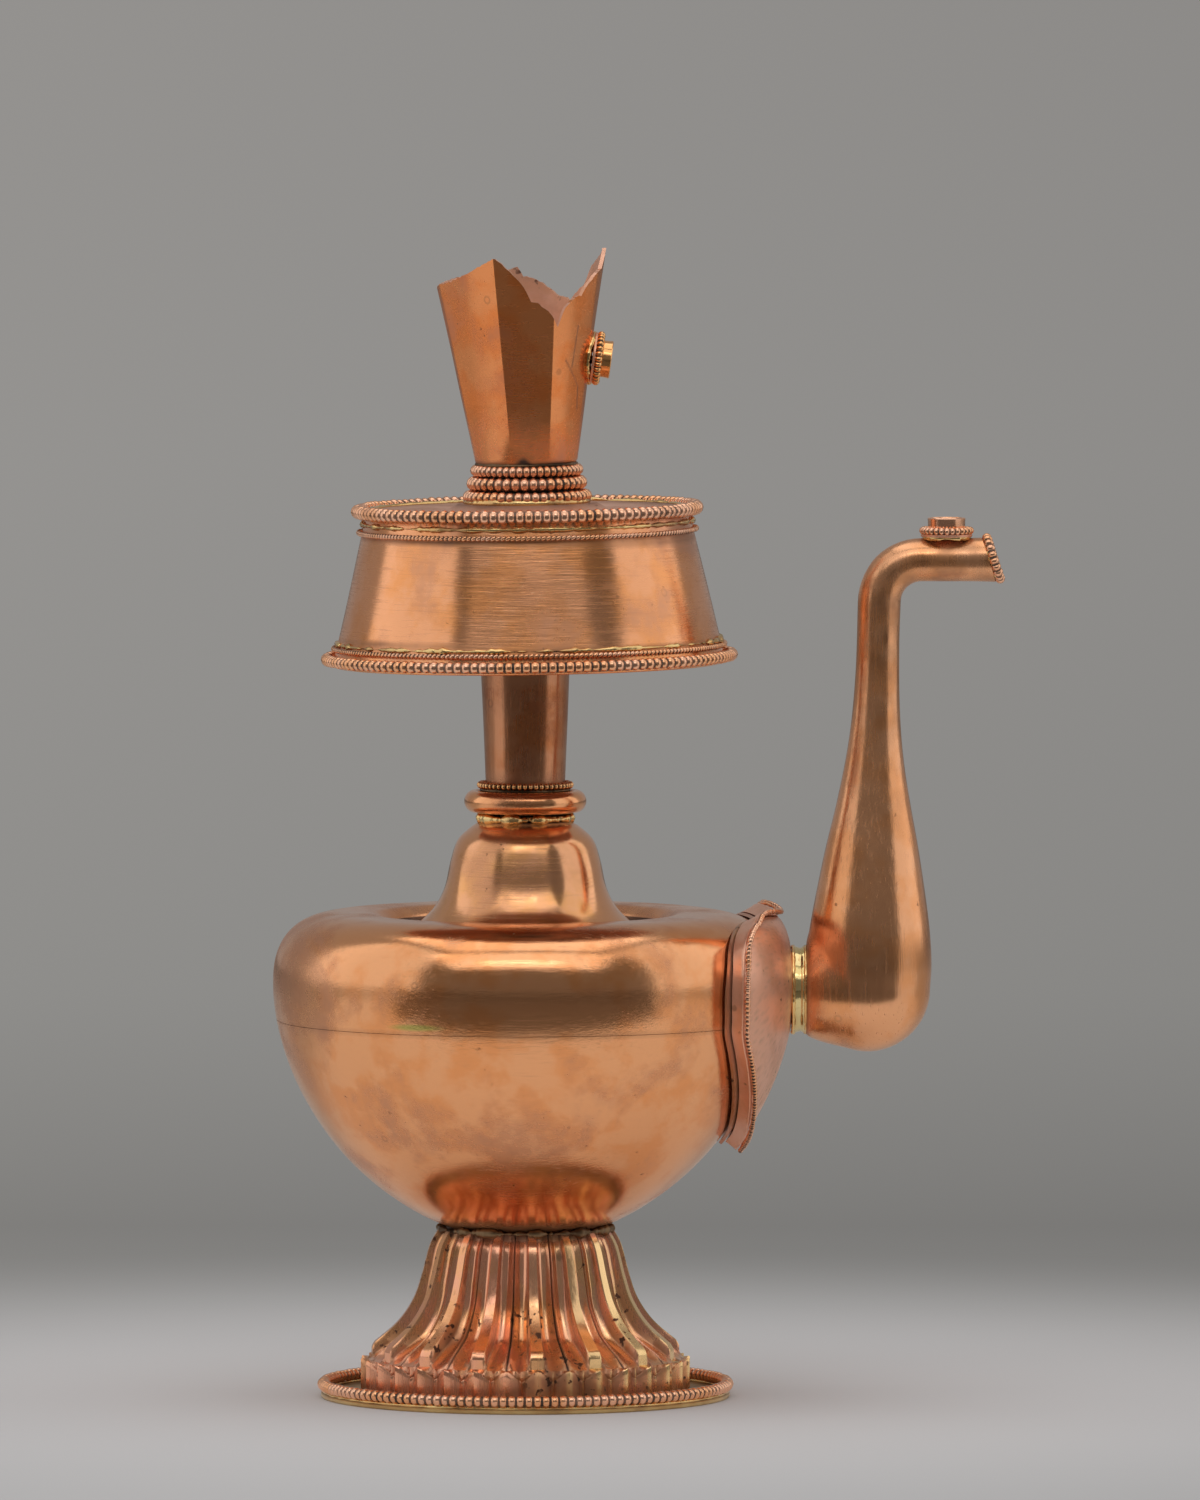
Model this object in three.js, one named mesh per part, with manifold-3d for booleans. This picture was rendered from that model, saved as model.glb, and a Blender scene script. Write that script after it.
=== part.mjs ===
// A bumpa, a ritual water vase in brazed sheet copper: a lotus foot, a round body, a neck
// with a canopy, a scalloped mouth, and a spout that leaves the body through a shield.
// Millimetres, +Z up. The foot stands on z = 0 and the spout points along +X.

import * as THREE from "three";
import { mergeVertices } from "three/addons/utils/BufferGeometryUtils.js";
import Module from "manifold-3d";

const kernel = await Module();
kernel.setup();

// Shared sizes
const sheet = 0.9; // wall of the raised copper sheet
const jointGap = 0.3; // room for solder between neighbours
const roundSteps = 40; // steps round a large turned piece
const smallSteps = 28; // steps round a small turned piece
const hiddenSteps = 20; // steps round the inside of a vessel
const degree = Math.PI / 180;

// Base plate and its bead wire
const plateRadius = 38.9;
const plateThickness = 0.95;
const plateWire = { thickness: 2.3, radius: plateRadius - 0.45 };

// Lotus foot: 16 ridged petals that flare over a tier of 32 small upright petals
const ridgeCount = 16;
const ridgePhase = -90 + 4.6; // azimuth of one ridge, degrees
const tier = { radius: 31.4, top: 7.3, fold: 1, notch: 0.9 }; // folded and notched between its petals
const tip = { radius: 29, top: 10, face: 2.4 }; // blunt end of a ridge
const footNeck = 16.6;
const crestFall = [[1, 0], [0.62, 0.19], [0.38, 0.39], [0.25, 0.6], [0.13, 0.86], [0, 1]]; // out, up
const fluteDepths = [1.9, 2.9, 2.2, 1.5, 1.35, 1.3]; // under the crest, from the tips up to the neck
const fluteFoot = { inset: 1.2, rise: 0.1 }; // where the flutes run out on the tier
const ridgeShare = 0.26; // share of the pitch taken by the flat of a ridge
const grooveDepth = 0.35;

// Body: a deep bowl and a shoulder, joined at a seam below the widest line
const bodyRadius = 48;
const equator = 78.6;
const bowl = { reach: bodyRadius, rise: 49.2, power: 1.85, seat: 14.5 };
const shoulder = { reach: 13.7, rise: 13.7, power: 2.5 };
const spoutHeight = equator - 1;
const spoutBore = 6;
const seamHeight = spoutHeight - 5.6; // the seam meets the lower edge of the spout hole
const recess = { outer: 26.4, lip: 28.4, depth: 3, hole: 17.5 };

// Neck: a bell, and a tube that widens a little as it rises
const domeRim = 20.5;
const domeHeight = 20.1;
const bellShares = [[0.77, 0.18], [0.62, 0.37], [0.53, 0.63], [0.43, 0.82], [0.25, 0.93], [0.1, 1]];
const neckFoot = 7.22;
const neckTaperRatio = 0.0415; // growth of the neck radius for each millimetre of height
const lowWire = 1.1;
const torus = { radius: 11.6, height: 4.2 };
const neckWire = 1.2;

// Canopy: a conical skirt, open below, leaning a little as the handmade one does
const canopyRise = 30.3; // from the top of the bell to the foot of the skirt
const canopyShift = 0.8;
const canopyLean = 0.8; // degrees toward -X
const skirt = { height: 29, footRadius: 37.25, topRadius: 30.55 };
const skirtWires = { lower: 2.32, upper: 2.66, trim: 0.84 };
const trimRise = 3; // of the lower trim above the foot of the skirt
const trimDrop = 4; // of the upper trim below its top
const longWireSides = 5;

// Crown: three bead wires round the foot of a flared cup with a scalloped lip
const lowerWire = { thickness: 2.4, radius: 11.1, pitch: 1.6 };
const middleWire = { thickness: 2.7, radius: 10.15, pitch: 1.7 };
const upperWire = { thickness: 2.2, radius: 9.7, pitch: 1.5 };
const wireNesting = 0.87; // share of its thickness that a stacked wire adds
const crownLean = 1.6; // degrees, on top of the lean of the canopy
const crownStem = 8.8; // radius of the stem inside the bead wires
const crownFoot = 9.6;
const crownFlareRatio = 0.176; // growth of the radius for each millimetre of height
const crownBezelHeight = 19.6; // above the foot of the cup

// Each flank of the lip falls from a petal tip to a notch, at azimuths in degrees, with its heights
// as shares of the cup; bend above 1 bulges it outward
const cupHeight = 40.1;
const lipFlanks = [
  { tip: 0, notch: 50, high: 1, low: 0.763, bend: 2.2 },
  { tip: 96, notch: 50, high: 0.923, low: 0.763, bend: 1.3 },
  { tip: 96, notch: 180, high: 0.923, low: 0.835, bend: 0.8 },
  { tip: 252, notch: 180, high: 0.948, low: 0.835, bend: 0.8 },
  { tip: 252, notch: 298, high: 0.948, low: 0.646, bend: 1.3 },
  { tip: 360, notch: 298, high: 1, low: 0.646, bend: 2.2 },
];

// Gem setting, used on the crown and on the spout: a plate, a bead wire and an empty cup
const bezel = { plate: 4.9, plateThickness: 0.5, wire: 1.5, ring: 4.35, pitch: 1.52 };
const bezelCup = { radius: 3.5, depth: 3.1, wall: 0.6 };

// Shield: half width of its outline, and length along the body from the axis of the spout
const shieldHalf = [
  [0, 16],
  [9, 15.5],
  [17, 14.1],
  [23.5, 12.2],
  [28, 8.5],
  [30.8, 1.7],
  [28.4, -7.6],
  [21.1, -16.4],
  [11.9, -24.4],
  [0, -30.6],
];
const shieldSeat = 0.4; // room for solder between the body and the back plate
const shieldSheet = 0.6;
const shieldFlange = 1.5; // how far the back plate shows outside the rim
const shieldRim = { top: 3.9, wall: 0.8 };
const shieldLift = 3.6; // from the body to the outside of the face, at its edge
const shieldDish = 0.3; // the face comes nearer to the body round the collar
const shieldWire = 1;

// Collar between the shield and the bulb
const collar = { radius: 8.25, length: 1.55, dish: 0.6, edge: 0.2, clearance: 0.25 };
const collarBack = bodyRadius + shieldLift - shieldDish + collar.clearance;
const collarFront = collarBack + collar.length;

// Spout: a bulb, a rising tube that leans a little outward, a bend and a level end
const bulbRadius = 11.8;
const bulbSeat = 0.2; // from the collar to the bulb
const bulbCentre = collarFront + bulbSeat + bulbRadius;
const stub = { length: 5, flare: 0.6 }; // from the collar into the side of the bulb
const spoutRise = 81.8; // from the centre of the bulb to the level end
const spoutLean = 2.14;
const bendRadius = 8;
const spoutRadius = 4.1;
const spoutWall = 0.8;
const levelLength = 12.76; // from the bend to the mouth
const spoutTaper = [[11.9, 0.07], [11.2, 0.18], [9.5, 0.31], [7.1, 0.48], [5.2, 0.62], [4.1, 0.82]];
const mouthTilt = 18; // degrees, the mouth looks a little upward
const mouthWire = { thickness: 1.6, pitch: 1.52 };
const bezelBack = 8; // from the mouth back to the gem setting

const finish = { roughness: 0.35, metalness: 1 };
const copper = new THREE.MeshStandardMaterial({ name: "copper", color: 0xb86c44, ...finish });
const brass = new THREE.MeshStandardMaterial({ name: "brass", color: 0xc9a352, ...finish });

const vase = new THREE.Group();
vase.name = "bumpa_vase";

function add(parent, name, geometry, material = copper) {
  const mesh = new THREE.Mesh(weld(geometry), material);
  mesh.name = name;
  parent.add(mesh);
  return mesh;
}

// Joins equal points and drops the empty triangles that turned shapes have on their axis
function weld(geometry) {
  const bare = new THREE.BufferGeometry();
  bare.setAttribute("position", geometry.getAttribute("position"));
  if (geometry.index) bare.setIndex(geometry.index);
  const joined = mergeVertices(bare, 1e-4);
  const corners = joined.index.array;
  const kept = [];
  for (let i = 0; i < corners.length; i += 3) {
    const [a, b, c] = [corners[i], corners[i + 1], corners[i + 2]];
    if (a !== b && b !== c && c !== a) kept.push(a, b, c);
  }
  joined.setIndex(kept);
  joined.computeVertexNormals();
  return joined;
}

function toSolid(geometry) {
  const welded = weld(geometry);
  const mesh = new kernel.Mesh({
    numProp: 3,
    vertProperties: new Float32Array(welded.getAttribute("position").array),
    triVerts: new Uint32Array(welded.index.array),
  });
  return new kernel.Manifold(mesh);
}

function toGeometry(solid) {
  const mesh = solid.getMesh();
  const geometry = new THREE.BufferGeometry();
  geometry.setAttribute("position", new THREE.BufferAttribute(mesh.vertProperties, 3));
  geometry.setIndex(new THREE.BufferAttribute(mesh.triVerts, 1));
  return geometry;
}

// A turned piece: pairs of radius and height, up the outside and down the inside
function turned(profile, steps = roundSteps) {
  const points = profile.map(([radius, height]) => new THREE.Vector2(radius, height));
  const geometry = new THREE.LatheGeometry(points, steps);
  geometry.rotateX(Math.PI / 2);
  return geometry;
}

function closed(profile) {
  return [...profile, profile[0]];
}

// The same outline moved to its left by a distance, with square corners kept square
function insetOutline(outline, distance) {
  return outline.map((point, i) => {
    const before = outline[Math.max(i - 1, 0)];
    const after = outline[Math.min(i + 1, outline.length - 1)];
    const arriving = i > 0 ? leftNormal(before, point) : leftNormal(point, after);
    const leaving = i < outline.length - 1 ? leftNormal(point, after) : arriving;
    const middle = arriving.clone().add(leaving).normalize();
    const reach = distance / Math.max(middle.dot(leaving), 0.5);
    return [point[0] + middle.x * reach, point[1] + middle.y * reach];
  });
}

function leftNormal(from, to) {
  return new THREE.Vector2(from[1] - to[1], to[0] - from[0]).normalize();
}

// Closes an outline onto the axis at both ends
function toAxis(outline) {
  return [[0, outline[0][1]], ...outline, [0, outline[outline.length - 1][1]]];
}

// A vessel turned from an outline, hollow by a coarser one, and open wherever an end is off the axis
function vessel(outline, coarse, steps) {
  const overrun = 1;
  const inner = insetOutline(coarse, sheet);
  const first = inner[0];
  const last = inner[inner.length - 1];
  const start = coarse[0][0] === 0 ? [0, first[1]] : [first[0], first[1] - overrun];
  const hollow = toAxis([start, ...inner, [last[0], last[1] + overrun]]);
  return toSolid(turned(toAxis(outline), steps)).subtract(toSolid(turned(hollow, hiddenSteps)));
}

// The cross-section of a sheet whose outside is the outline
function sheetProfile(outline, thickness = sheet) {
  return [...outline, ...insetOutline(outline, thickness).reverse()];
}

function smooth(points, steps) {
  const curve = new THREE.SplineCurve(points.map(([x, y]) => new THREE.Vector2(x, y)));
  return curve.getPoints(steps).map((point) => [point.x, point.y]);
}

// A skin over rings of points. The rings rise, each anticlockwise, and a fan closes either end.
// When looped, they stand anticlockwise round an axis instead, each going up its outside.
function skin(ringCount, sideCount, pointAt, looped = false) {
  const positions = [];
  for (let ring = 0; ring < ringCount; ring += 1) {
    for (let side = 0; side < sideCount; side += 1) {
      positions.push(...pointAt(ring, side));
    }
  }
  const indices = [];
  const spans = looped ? ringCount : ringCount - 1;
  for (let ring = 0; ring < spans; ring += 1) {
    const next = (ring + 1) % ringCount;
    for (let side = 0; side < sideCount; side += 1) {
      const beside = (side + 1) % sideCount;
      const a = ring * sideCount + side;
      const b = ring * sideCount + beside;
      const c = next * sideCount + beside;
      const d = next * sideCount + side;
      if (looped) indices.push(a, c, b, a, d, c);
      else indices.push(a, b, c, a, c, d);
    }
  }
  if (!looped) {
    addFan(positions, indices, 0, sideCount, true);
    addFan(positions, indices, ringCount - 1, sideCount, false);
  }
  const geometry = new THREE.BufferGeometry();
  geometry.setAttribute("position", new THREE.Float32BufferAttribute(positions, 3));
  geometry.setIndex(indices);
  return geometry;
}

function addFan(positions, indices, ring, sideCount, reversed) {
  const middle = [0, 0, 0];
  for (let side = 0; side < sideCount; side += 1) {
    for (let axis = 0; axis < 3; axis += 1) {
      middle[axis] += positions[(ring * sideCount + side) * 3 + axis] / sideCount;
    }
  }
  const centre = positions.length / 3;
  positions.push(...middle);
  for (let side = 0; side < sideCount; side += 1) {
    const here = ring * sideCount + side;
    const beside = ring * sideCount + ((side + 1) % sideCount);
    if (reversed) indices.push(centre, beside, here);
    else indices.push(centre, here, beside);
  }
}

// A short wire pressed into beads, lying round the Z axis; three sides keep its count of faces low
function beadWire({ radius, thickness, pitch }) {
  const beads = Math.round((2 * Math.PI * radius) / pitch);
  const waist = 0.68;
  const sides = 3;
  return skin(beads * 2, sides, (station, side) => {
    const turn = (station * Math.PI) / beads;
    const girth = (thickness / 2) * (station % 2 ? waist : 1);
    const corner = (side * 2 * Math.PI) / sides;
    const reach = radius + girth * Math.cos(corner);
    return [reach * Math.cos(turn), reach * Math.sin(turn), girth * Math.sin(corner)];
  }, true);
}

// A round wire round the Z axis; the bead wires with the finest beads are this too, without them
function plainWire({ radius, thickness }, steps = roundSteps, sides = 4) {
  const half = thickness / 2;
  const section = [];
  for (let side = 0; side < sides; side += 1) {
    const corner = (side * 2 * Math.PI) / sides;
    section.push([radius + half * Math.cos(corner), half * Math.sin(corner)]);
  }
  return turned(closed(section), steps);
}

// A group that stands at a height on the Z axis and leans toward -X
function leaningGroup(parent, angle, height, shift = 0) {
  const group = new THREE.Group();
  group.position.set(shift, 0, height);
  group.rotation.y = -angle * degree;
  parent.add(group);
  return group;
}

const lerp = THREE.MathUtils.lerp;

// The body in section: a superellipse below the widest line and another above it
function bodyPart(side) {
  return side < 0 ? bowl : shoulder;
}

function bodyAngle(height) {
  const { rise, power } = bodyPart(height - equator);
  const share = (height - equator) / rise;
  return Math.asin(Math.abs(share) ** (power / 2)) * Math.sign(share);
}

function bodyLine(from, to, steps) {
  const points = [];
  for (let i = 0; i <= steps; i += 1) {
    const angle = lerp(from, to, i / steps);
    const { reach, rise, power } = bodyPart(angle);
    const across = Math.max(Math.cos(angle), 0) ** (2 / power);
    const up = Math.abs(Math.sin(angle)) ** (2 / power) * Math.sign(angle);
    points.push([bodyRadius - reach + reach * across, equator + rise * up]);
  }
  return points;
}

const bowlSeatAngle = -Math.acos((bowl.seat / bowl.reach) ** (bowl.power / 2));
const bowlBottom = bodyLine(bowlSeatAngle, 0, 1)[0][1];
const footTop = bowlBottom - jointGap;
const footBottom = plateThickness + jointGap;

function addBase() {
  const plate = [[0, 0], [plateRadius, 0], [plateRadius, plateThickness], [0, plateThickness]];
  add(vase, "base_plate", turned(plate), brass);
  const ring = add(vase, "base_bead_ring", plainWire(plateWire, roundSteps, longWireSides));
  ring.position.z = plateThickness + jointGap + plateWire.thickness / 2;
}

// Crest line of a ridge, from the blunt tip up to the neck of the foot
const ridgeCrest = new THREE.SplineCurve(crestFall.map(([out, up]) => {
  return new THREE.Vector2(lerp(footNeck, tip.radius, out), lerp(tip.top, footTop, up));
}));

function fluteDepth(along) {
  const place = along * (fluteDepths.length - 1);
  const below = Math.min(Math.floor(place), fluteDepths.length - 2);
  return lerp(fluteDepths[below], fluteDepths[below + 1], place - below);
}

// A point under the crest, square to it; along runs from the tip to the neck
function underCrest(along, depth) {
  const point = ridgeCrest.getPoint(along);
  const climb = ridgeCrest.getTangent(along);
  return [point.x - climb.y * depth, along === 1 ? footTop : point.y + climb.x * depth];
}

// From 0 on the flat of a ridge to 1 in a flute, and deeper in the groove between two flutes
function fluteShape(share) {
  const away = Math.abs(share - 0.5) * 2; // 1 on the ridge, 0 on the groove
  if (away >= 1 - ridgeShare) return 0;
  if (away === 0) return 1;
  return 0.62 + 0.38 * Math.sin((Math.PI * away) / (1 - ridgeShare));
}

const flutedRows = 5;
const footStepsPerPitch = [0, 0.13, 0.2, 0.36, 0.5, 0.64, 0.8, 0.87];

// Radius and height of the ridge and of the flute bottom in one row of the foot
function footRow(row) {
  if (row < 2) {
    const wall = [tier.radius, row === 0 ? footBottom : tier.top];
    return { ridge: wall, flute: wall, fold: tier.fold };
  }
  if (row === 2) {
    const flute = [tier.radius - fluteFoot.inset, tier.top + fluteFoot.rise];
    return { ridge: [tip.radius, tip.top - tip.face], flute, fold: 0 };
  }
  const along = (row - 3) / flutedRows;
  return { ridge: underCrest(along, 0), flute: underCrest(along, fluteDepth(along)), fold: 0 };
}

function footPoint(row, column) {
  const perPitch = footStepsPerPitch.length;
  const share = footStepsPerPitch[column % perPitch];
  const pitch = (2 * Math.PI) / ridgeCount;
  const turn = ridgePhase * degree + (Math.floor(column / perPitch) + share) * pitch;
  const { ridge, flute, fold } = footRow(row);
  const folded = Math.abs(Math.sin(2 * Math.PI * share));
  const sunk = fluteShape(share);
  const groove = share === 0.5 && row > 2 ? grooveDepth : 0;
  const reach = lerp(ridge[0], flute[0], sunk) - fold * folded - groove;
  const height = lerp(ridge[1], flute[1], sunk) - (row === 1 ? tier.notch * folded : 0);
  return [reach * Math.cos(turn), reach * Math.sin(turn), height];
}

// The inside is a plain funnel that stays behind the deepest flute
function addFoot() {
  const columns = ridgeCount * footStepsPerPitch.length;
  const outside = toSolid(skin(flutedRows + 4, columns, footPoint));
  const wall = tier.radius - tier.fold - sheet;
  const ceiling = tier.top - tier.notch - 2 * sheet;
  const behind = (along) => underCrest(along, fluteDepth(along) + grooveDepth + sheet);
  const inside = toSolid(turned(toAxis([
    [wall, footBottom - 1],
    [wall, ceiling],
    [behind(0)[0], ceiling + sheet],
    ...[0.2, 0.4, 0.7, 1].map(behind),
    [behind(1)[0], footTop + 1],
  ]), hiddenSteps));
  add(vase, "lotus_foot", toGeometry(outside.subtract(inside)));
}

function bowlOutline(steps) {
  return [[0, bowlBottom], ...bodyLine(bowlSeatAngle, bodyAngle(seamHeight - jointGap / 2), steps)];
}

const bodyTop = equator + shoulder.rise;
const recessFloor = bodyTop - recess.depth;

function shoulderOutline(steps) {
  return [
    ...bodyLine(bodyAngle(seamHeight + jointGap / 2), Math.PI / 2, steps),
    [recess.lip, bodyTop - 0.07 * recess.depth],
    [recess.outer + sheet / 2, recessFloor + 0.27 * recess.depth],
    [recess.outer - sheet / 2, recessFloor],
    [recess.hole, recessFloor],
  ];
}

// A round bar along the axis of the spout hole, to cut with
function spoutBar(from, to) {
  const bar = turned([[0, from], [spoutBore, from], [spoutBore, to], [0, to]], smallSteps);
  return toSolid(alongSpoutHole(bar));
}

function addBody() {
  const hole = spoutBar(bodyRadius - shoulder.reach, bodyRadius + sheet);
  const lower = vessel(bowlOutline(7), bowlOutline(4), roundSteps);
  const upper = vessel(shoulderOutline(8), shoulderOutline(5), roundSteps);
  add(vase, "body_bowl", toGeometry(lower.subtract(hole)));
  add(vase, "body_shoulder", toGeometry(upper.subtract(hole)));
}

const domeSeat = recessFloor + jointGap;
const domeTop = domeSeat + domeHeight;

function domeOutline(steps) {
  const side = bellShares.map(([out, up]) => {
    return [lerp(neckFoot, domeRim, out), lerp(domeSeat, domeTop, up)];
  });
  const curve = smooth([[domeRim, domeSeat + sheet], ...side], steps);
  return [[domeRim, domeSeat], ...curve, [neckFoot - sheet, domeTop]];
}

function addDome() {
  add(vase, "neck_dome", toGeometry(vessel(domeOutline(8), domeOutline(5), smallSteps)));
}

const skirtFoot = domeTop + canopyRise;
const skirtTop = skirtFoot + skirt.height;

function neckRadius(height) {
  return neckFoot + (height - domeTop) * neckTaperRatio;
}

function addNeck() {
  const tubeFoot = domeTop + jointGap;
  const tubeTop = skirtTop - jointGap;
  const wall = [[neckRadius(tubeFoot), tubeFoot], [neckRadius(tubeTop), tubeTop]];
  add(vase, "neck_tube", turned(closed(sheetProfile(wall)), smallSteps));

  const low = { thickness: lowWire, radius: neckRadius(tubeFoot) + jointGap + lowWire / 2 };
  const lowRing = add(vase, "neck_lower_bead_ring", plainWire(low, smallSteps), brass);
  lowRing.position.z = tubeFoot + lowWire / 2;

  const torusFoot = tubeFoot + lowWire + jointGap;
  const inner = neckRadius(torusFoot + torus.height) + jointGap;
  const section = [];
  const corners = 8;
  for (let i = 0; i < corners; i += 1) {
    const angle = (i * 2 * Math.PI) / corners;
    section.push([
      (torus.radius + inner) / 2 + ((torus.radius - inner) / 2) * Math.cos(angle),
      torusFoot + torus.height / 2 + (torus.height / 2) * Math.sin(angle),
    ]);
  }
  add(vase, "neck_torus", turned(closed(section), smallSteps));

  const height = torusFoot + torus.height + jointGap + neckWire / 2;
  const high = { thickness: neckWire, radius: neckRadius(height) + jointGap + neckWire / 2 };
  add(vase, "neck_bead_ring", plainWire(high, smallSteps)).position.z = height;
}

// The canopy is made standing on its own foot; the group gives it its height and its lean
const canopy = leaningGroup(vase, canopyLean, skirtFoot, canopyShift);
const plateTop = skirt.height + jointGap + sheet;

function skirtRadius(height) {
  return lerp(skirt.footRadius, skirt.topRadius, height / skirt.height);
}

function addCanopy() {
  const wall = [[skirt.footRadius, 0], [skirt.topRadius, skirt.height]];
  add(canopy, "canopy_skirt", turned(closed(sheetProfile(wall))));

  const bore = neckRadius(skirtTop) - sheet;
  const rim = skirt.topRadius - sheet / 4;
  const foot = skirt.height + jointGap;
  const plate = [[bore, foot], [rim, foot], [rim, plateTop], [bore, plateTop]];
  add(canopy, "canopy_top_plate", turned(closed(plate)));

  addSkirtWire("canopy_top_bead_ring", skirt.height, skirtWires.upper, longWireSides);
  addSkirtWire("canopy_bottom_bead_ring", skirtWires.lower * 0.4, skirtWires.lower, longWireSides);
  addSkirtWire("canopy_top_wire", skirt.height - trimDrop, skirtWires.trim, 3);
  addSkirtWire("canopy_bottom_wire", trimRise, skirtWires.trim, 3);
}

function addSkirtWire(name, height, thickness, sides) {
  const radius = skirtRadius(height) + jointGap + thickness / 2;
  add(canopy, name, plainWire({ radius, thickness }, roundSteps, sides)).position.z = height;
}

function lipHeight(turn) {
  const azimuth = THREE.MathUtils.euclideanModulo(turn / degree, 360);
  const flank = lipFlanks.find(({ tip, notch }) => (azimuth - tip) * (azimuth - notch) <= 0);
  const share = (azimuth - flank.tip) / (flank.notch - flank.tip);
  const fall = flank.bend >= 1 ? share ** flank.bend : 1 - (1 - share) ** (1 / flank.bend);
  return cupHeight * lerp(flank.high, flank.low, fall);
}

// Stacks a bead wire on the canopy and returns the top of the stack
function addCrownWire(name, wire, stackTop) {
  const ring = add(canopy, name, beadWire(wire));
  ring.position.z = stackTop + jointGap + (wire.thickness * wireNesting) / 2;
  return stackTop + jointGap + wire.thickness * wireNesting;
}

function addCrownWires() {
  const lowerTop = addCrownWire("crown_ring_lower", lowerWire, plateTop);
  const middleTop = addCrownWire("crown_ring_middle", middleWire, lowerTop);
  return addCrownWire("crown_ring_upper", upperWire, middleTop) + jointGap;
}

function cupRadius(height) {
  return crownFoot + crownFlareRatio * height;
}

// Radius and height up the outside of the cup and down its inside, at one azimuth
function cupSection(turn, stemLength) {
  const lip = lipHeight(turn);
  const rows = 3;
  const outline = [[crownStem, -stemLength], [crownStem, -jointGap], [crownFoot, jointGap]];
  for (let row = 1; row <= rows; row += 1) {
    const height = (lip * row) / rows;
    outline.push([cupRadius(height), height]);
  }
  return sheetProfile(outline);
}

// The cup is made standing on its foot, with its stem below, inside the bead wires
function addCrown() {
  const cupFoot = addCrownWires();
  const crown = leaningGroup(canopy, crownLean, cupFoot);
  const stemLength = cupFoot - plateTop - jointGap;
  const steps = 32;
  const turnOf = (step) => (step * 2 * Math.PI) / steps;
  const sections = Array.from({ length: steps }, (_, step) => cupSection(turnOf(step), stemLength));
  add(crown, "crown_cup", skin(steps, sections[0].length, (step, side) => {
    const [radius, height] = sections[step][side];
    return [radius * Math.cos(turnOf(step)), radius * Math.sin(turnOf(step)), height];
  }, true));
  const setting = addBezel(crown, "crown");
  setting.position.set(cupRadius(crownBezelHeight), 0, crownBezelHeight);
  setting.rotation.y = Math.PI / 2 + Math.atan(crownFlareRatio);
}

// A gem setting that stands on its own z = 0
function addBezel(parent, owner) {
  const group = new THREE.Group();
  parent.add(group);
  const top = jointGap + bezel.plateThickness;
  const plate = [[0, jointGap], [bezel.plate, jointGap], [bezel.plate, top], [0, top]];
  add(group, `${owner}_bezel_plate`, turned(plate, hiddenSteps));

  const ring = beadWire({ radius: bezel.ring, thickness: bezel.wire, pitch: bezel.pitch });
  add(group, `${owner}_bezel_bead_ring`, ring).position.z = top + jointGap + bezel.wire / 2;

  const { radius, depth, wall } = bezelCup;
  const inner = radius - wall;
  const cup = [[0, 0], [radius, 0], [radius, depth], [inner, depth], [inner, wall], [0, wall]];
  add(group, `${owner}_bezel_cup`, turned(cup, hiddenSteps)).position.z = top + jointGap;
  return group;
}

// The side of the body from the foot to its top, measured along its surface
const meridianSteps = 48;
const meridian = meridianTo(Math.PI / 2);
const meridianLength = meridian.getLength();
const spoutAxisLength = meridianTo(bodyAngle(spoutHeight)).getLength();

function meridianTo(angle) {
  const line = bodyLine(bowlSeatAngle, angle, meridianSteps);
  return new THREE.SplineCurve(line.map(([radius, height]) => new THREE.Vector2(radius, height)));
}

// A point at an offset from the body; across is the distance from the plane of the spout
function onBody(across, along, offset) {
  const share = (spoutAxisLength + along) / meridianLength;
  const seat = meridian.getPointAt(share);
  const climb = meridian.getTangentAt(share);
  const turn = Math.asin(across / (seat.x + climb.y * shieldLift));
  const reach = seat.x + climb.y * offset;
  return [reach * Math.cos(turn), reach * Math.sin(turn), seat.y - climb.x * offset];
}

const shieldCurve = new THREE.SplineCurve(shieldHalf.map(([x, y]) => new THREE.Vector2(x, y)));
const shieldStepsPerSide = 18;
const shieldSteps = shieldStepsPerSide * 2;

function shieldOutline(step) {
  const mirrored = step > shieldStepsPerSide;
  const share = (mirrored ? shieldSteps - step : step) / shieldStepsPerSide;
  const point = shieldCurve.getPointAt(share);
  return new THREE.Vector2(mirrored ? -point.x : point.x, point.y);
}

// A point between the outline and the hole round the spout, 0 to 1, inset from the outline
function shieldPoint(step, share, inset, offset) {
  const edge = shieldOutline(step);
  const reach = lerp(edge.length() - inset, spoutBore, share);
  const place = edge.normalize().multiplyScalar(reach);
  return onBody(place.x, place.y, offset);
}

// A sheet between two offsets from the body, from the outline to the hole
function shieldSheetSkin(inset, under, over, dish = 0) {
  const rows = 3;
  return skin(shieldSteps, rows * 2 + 2, (step, side) => {
    const outside = side > rows;
    const share = (outside ? rows * 2 + 1 - side : side) / rows;
    return shieldPoint(step, share, inset, (outside ? over : under) - dish * share);
  }, true);
}

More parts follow.
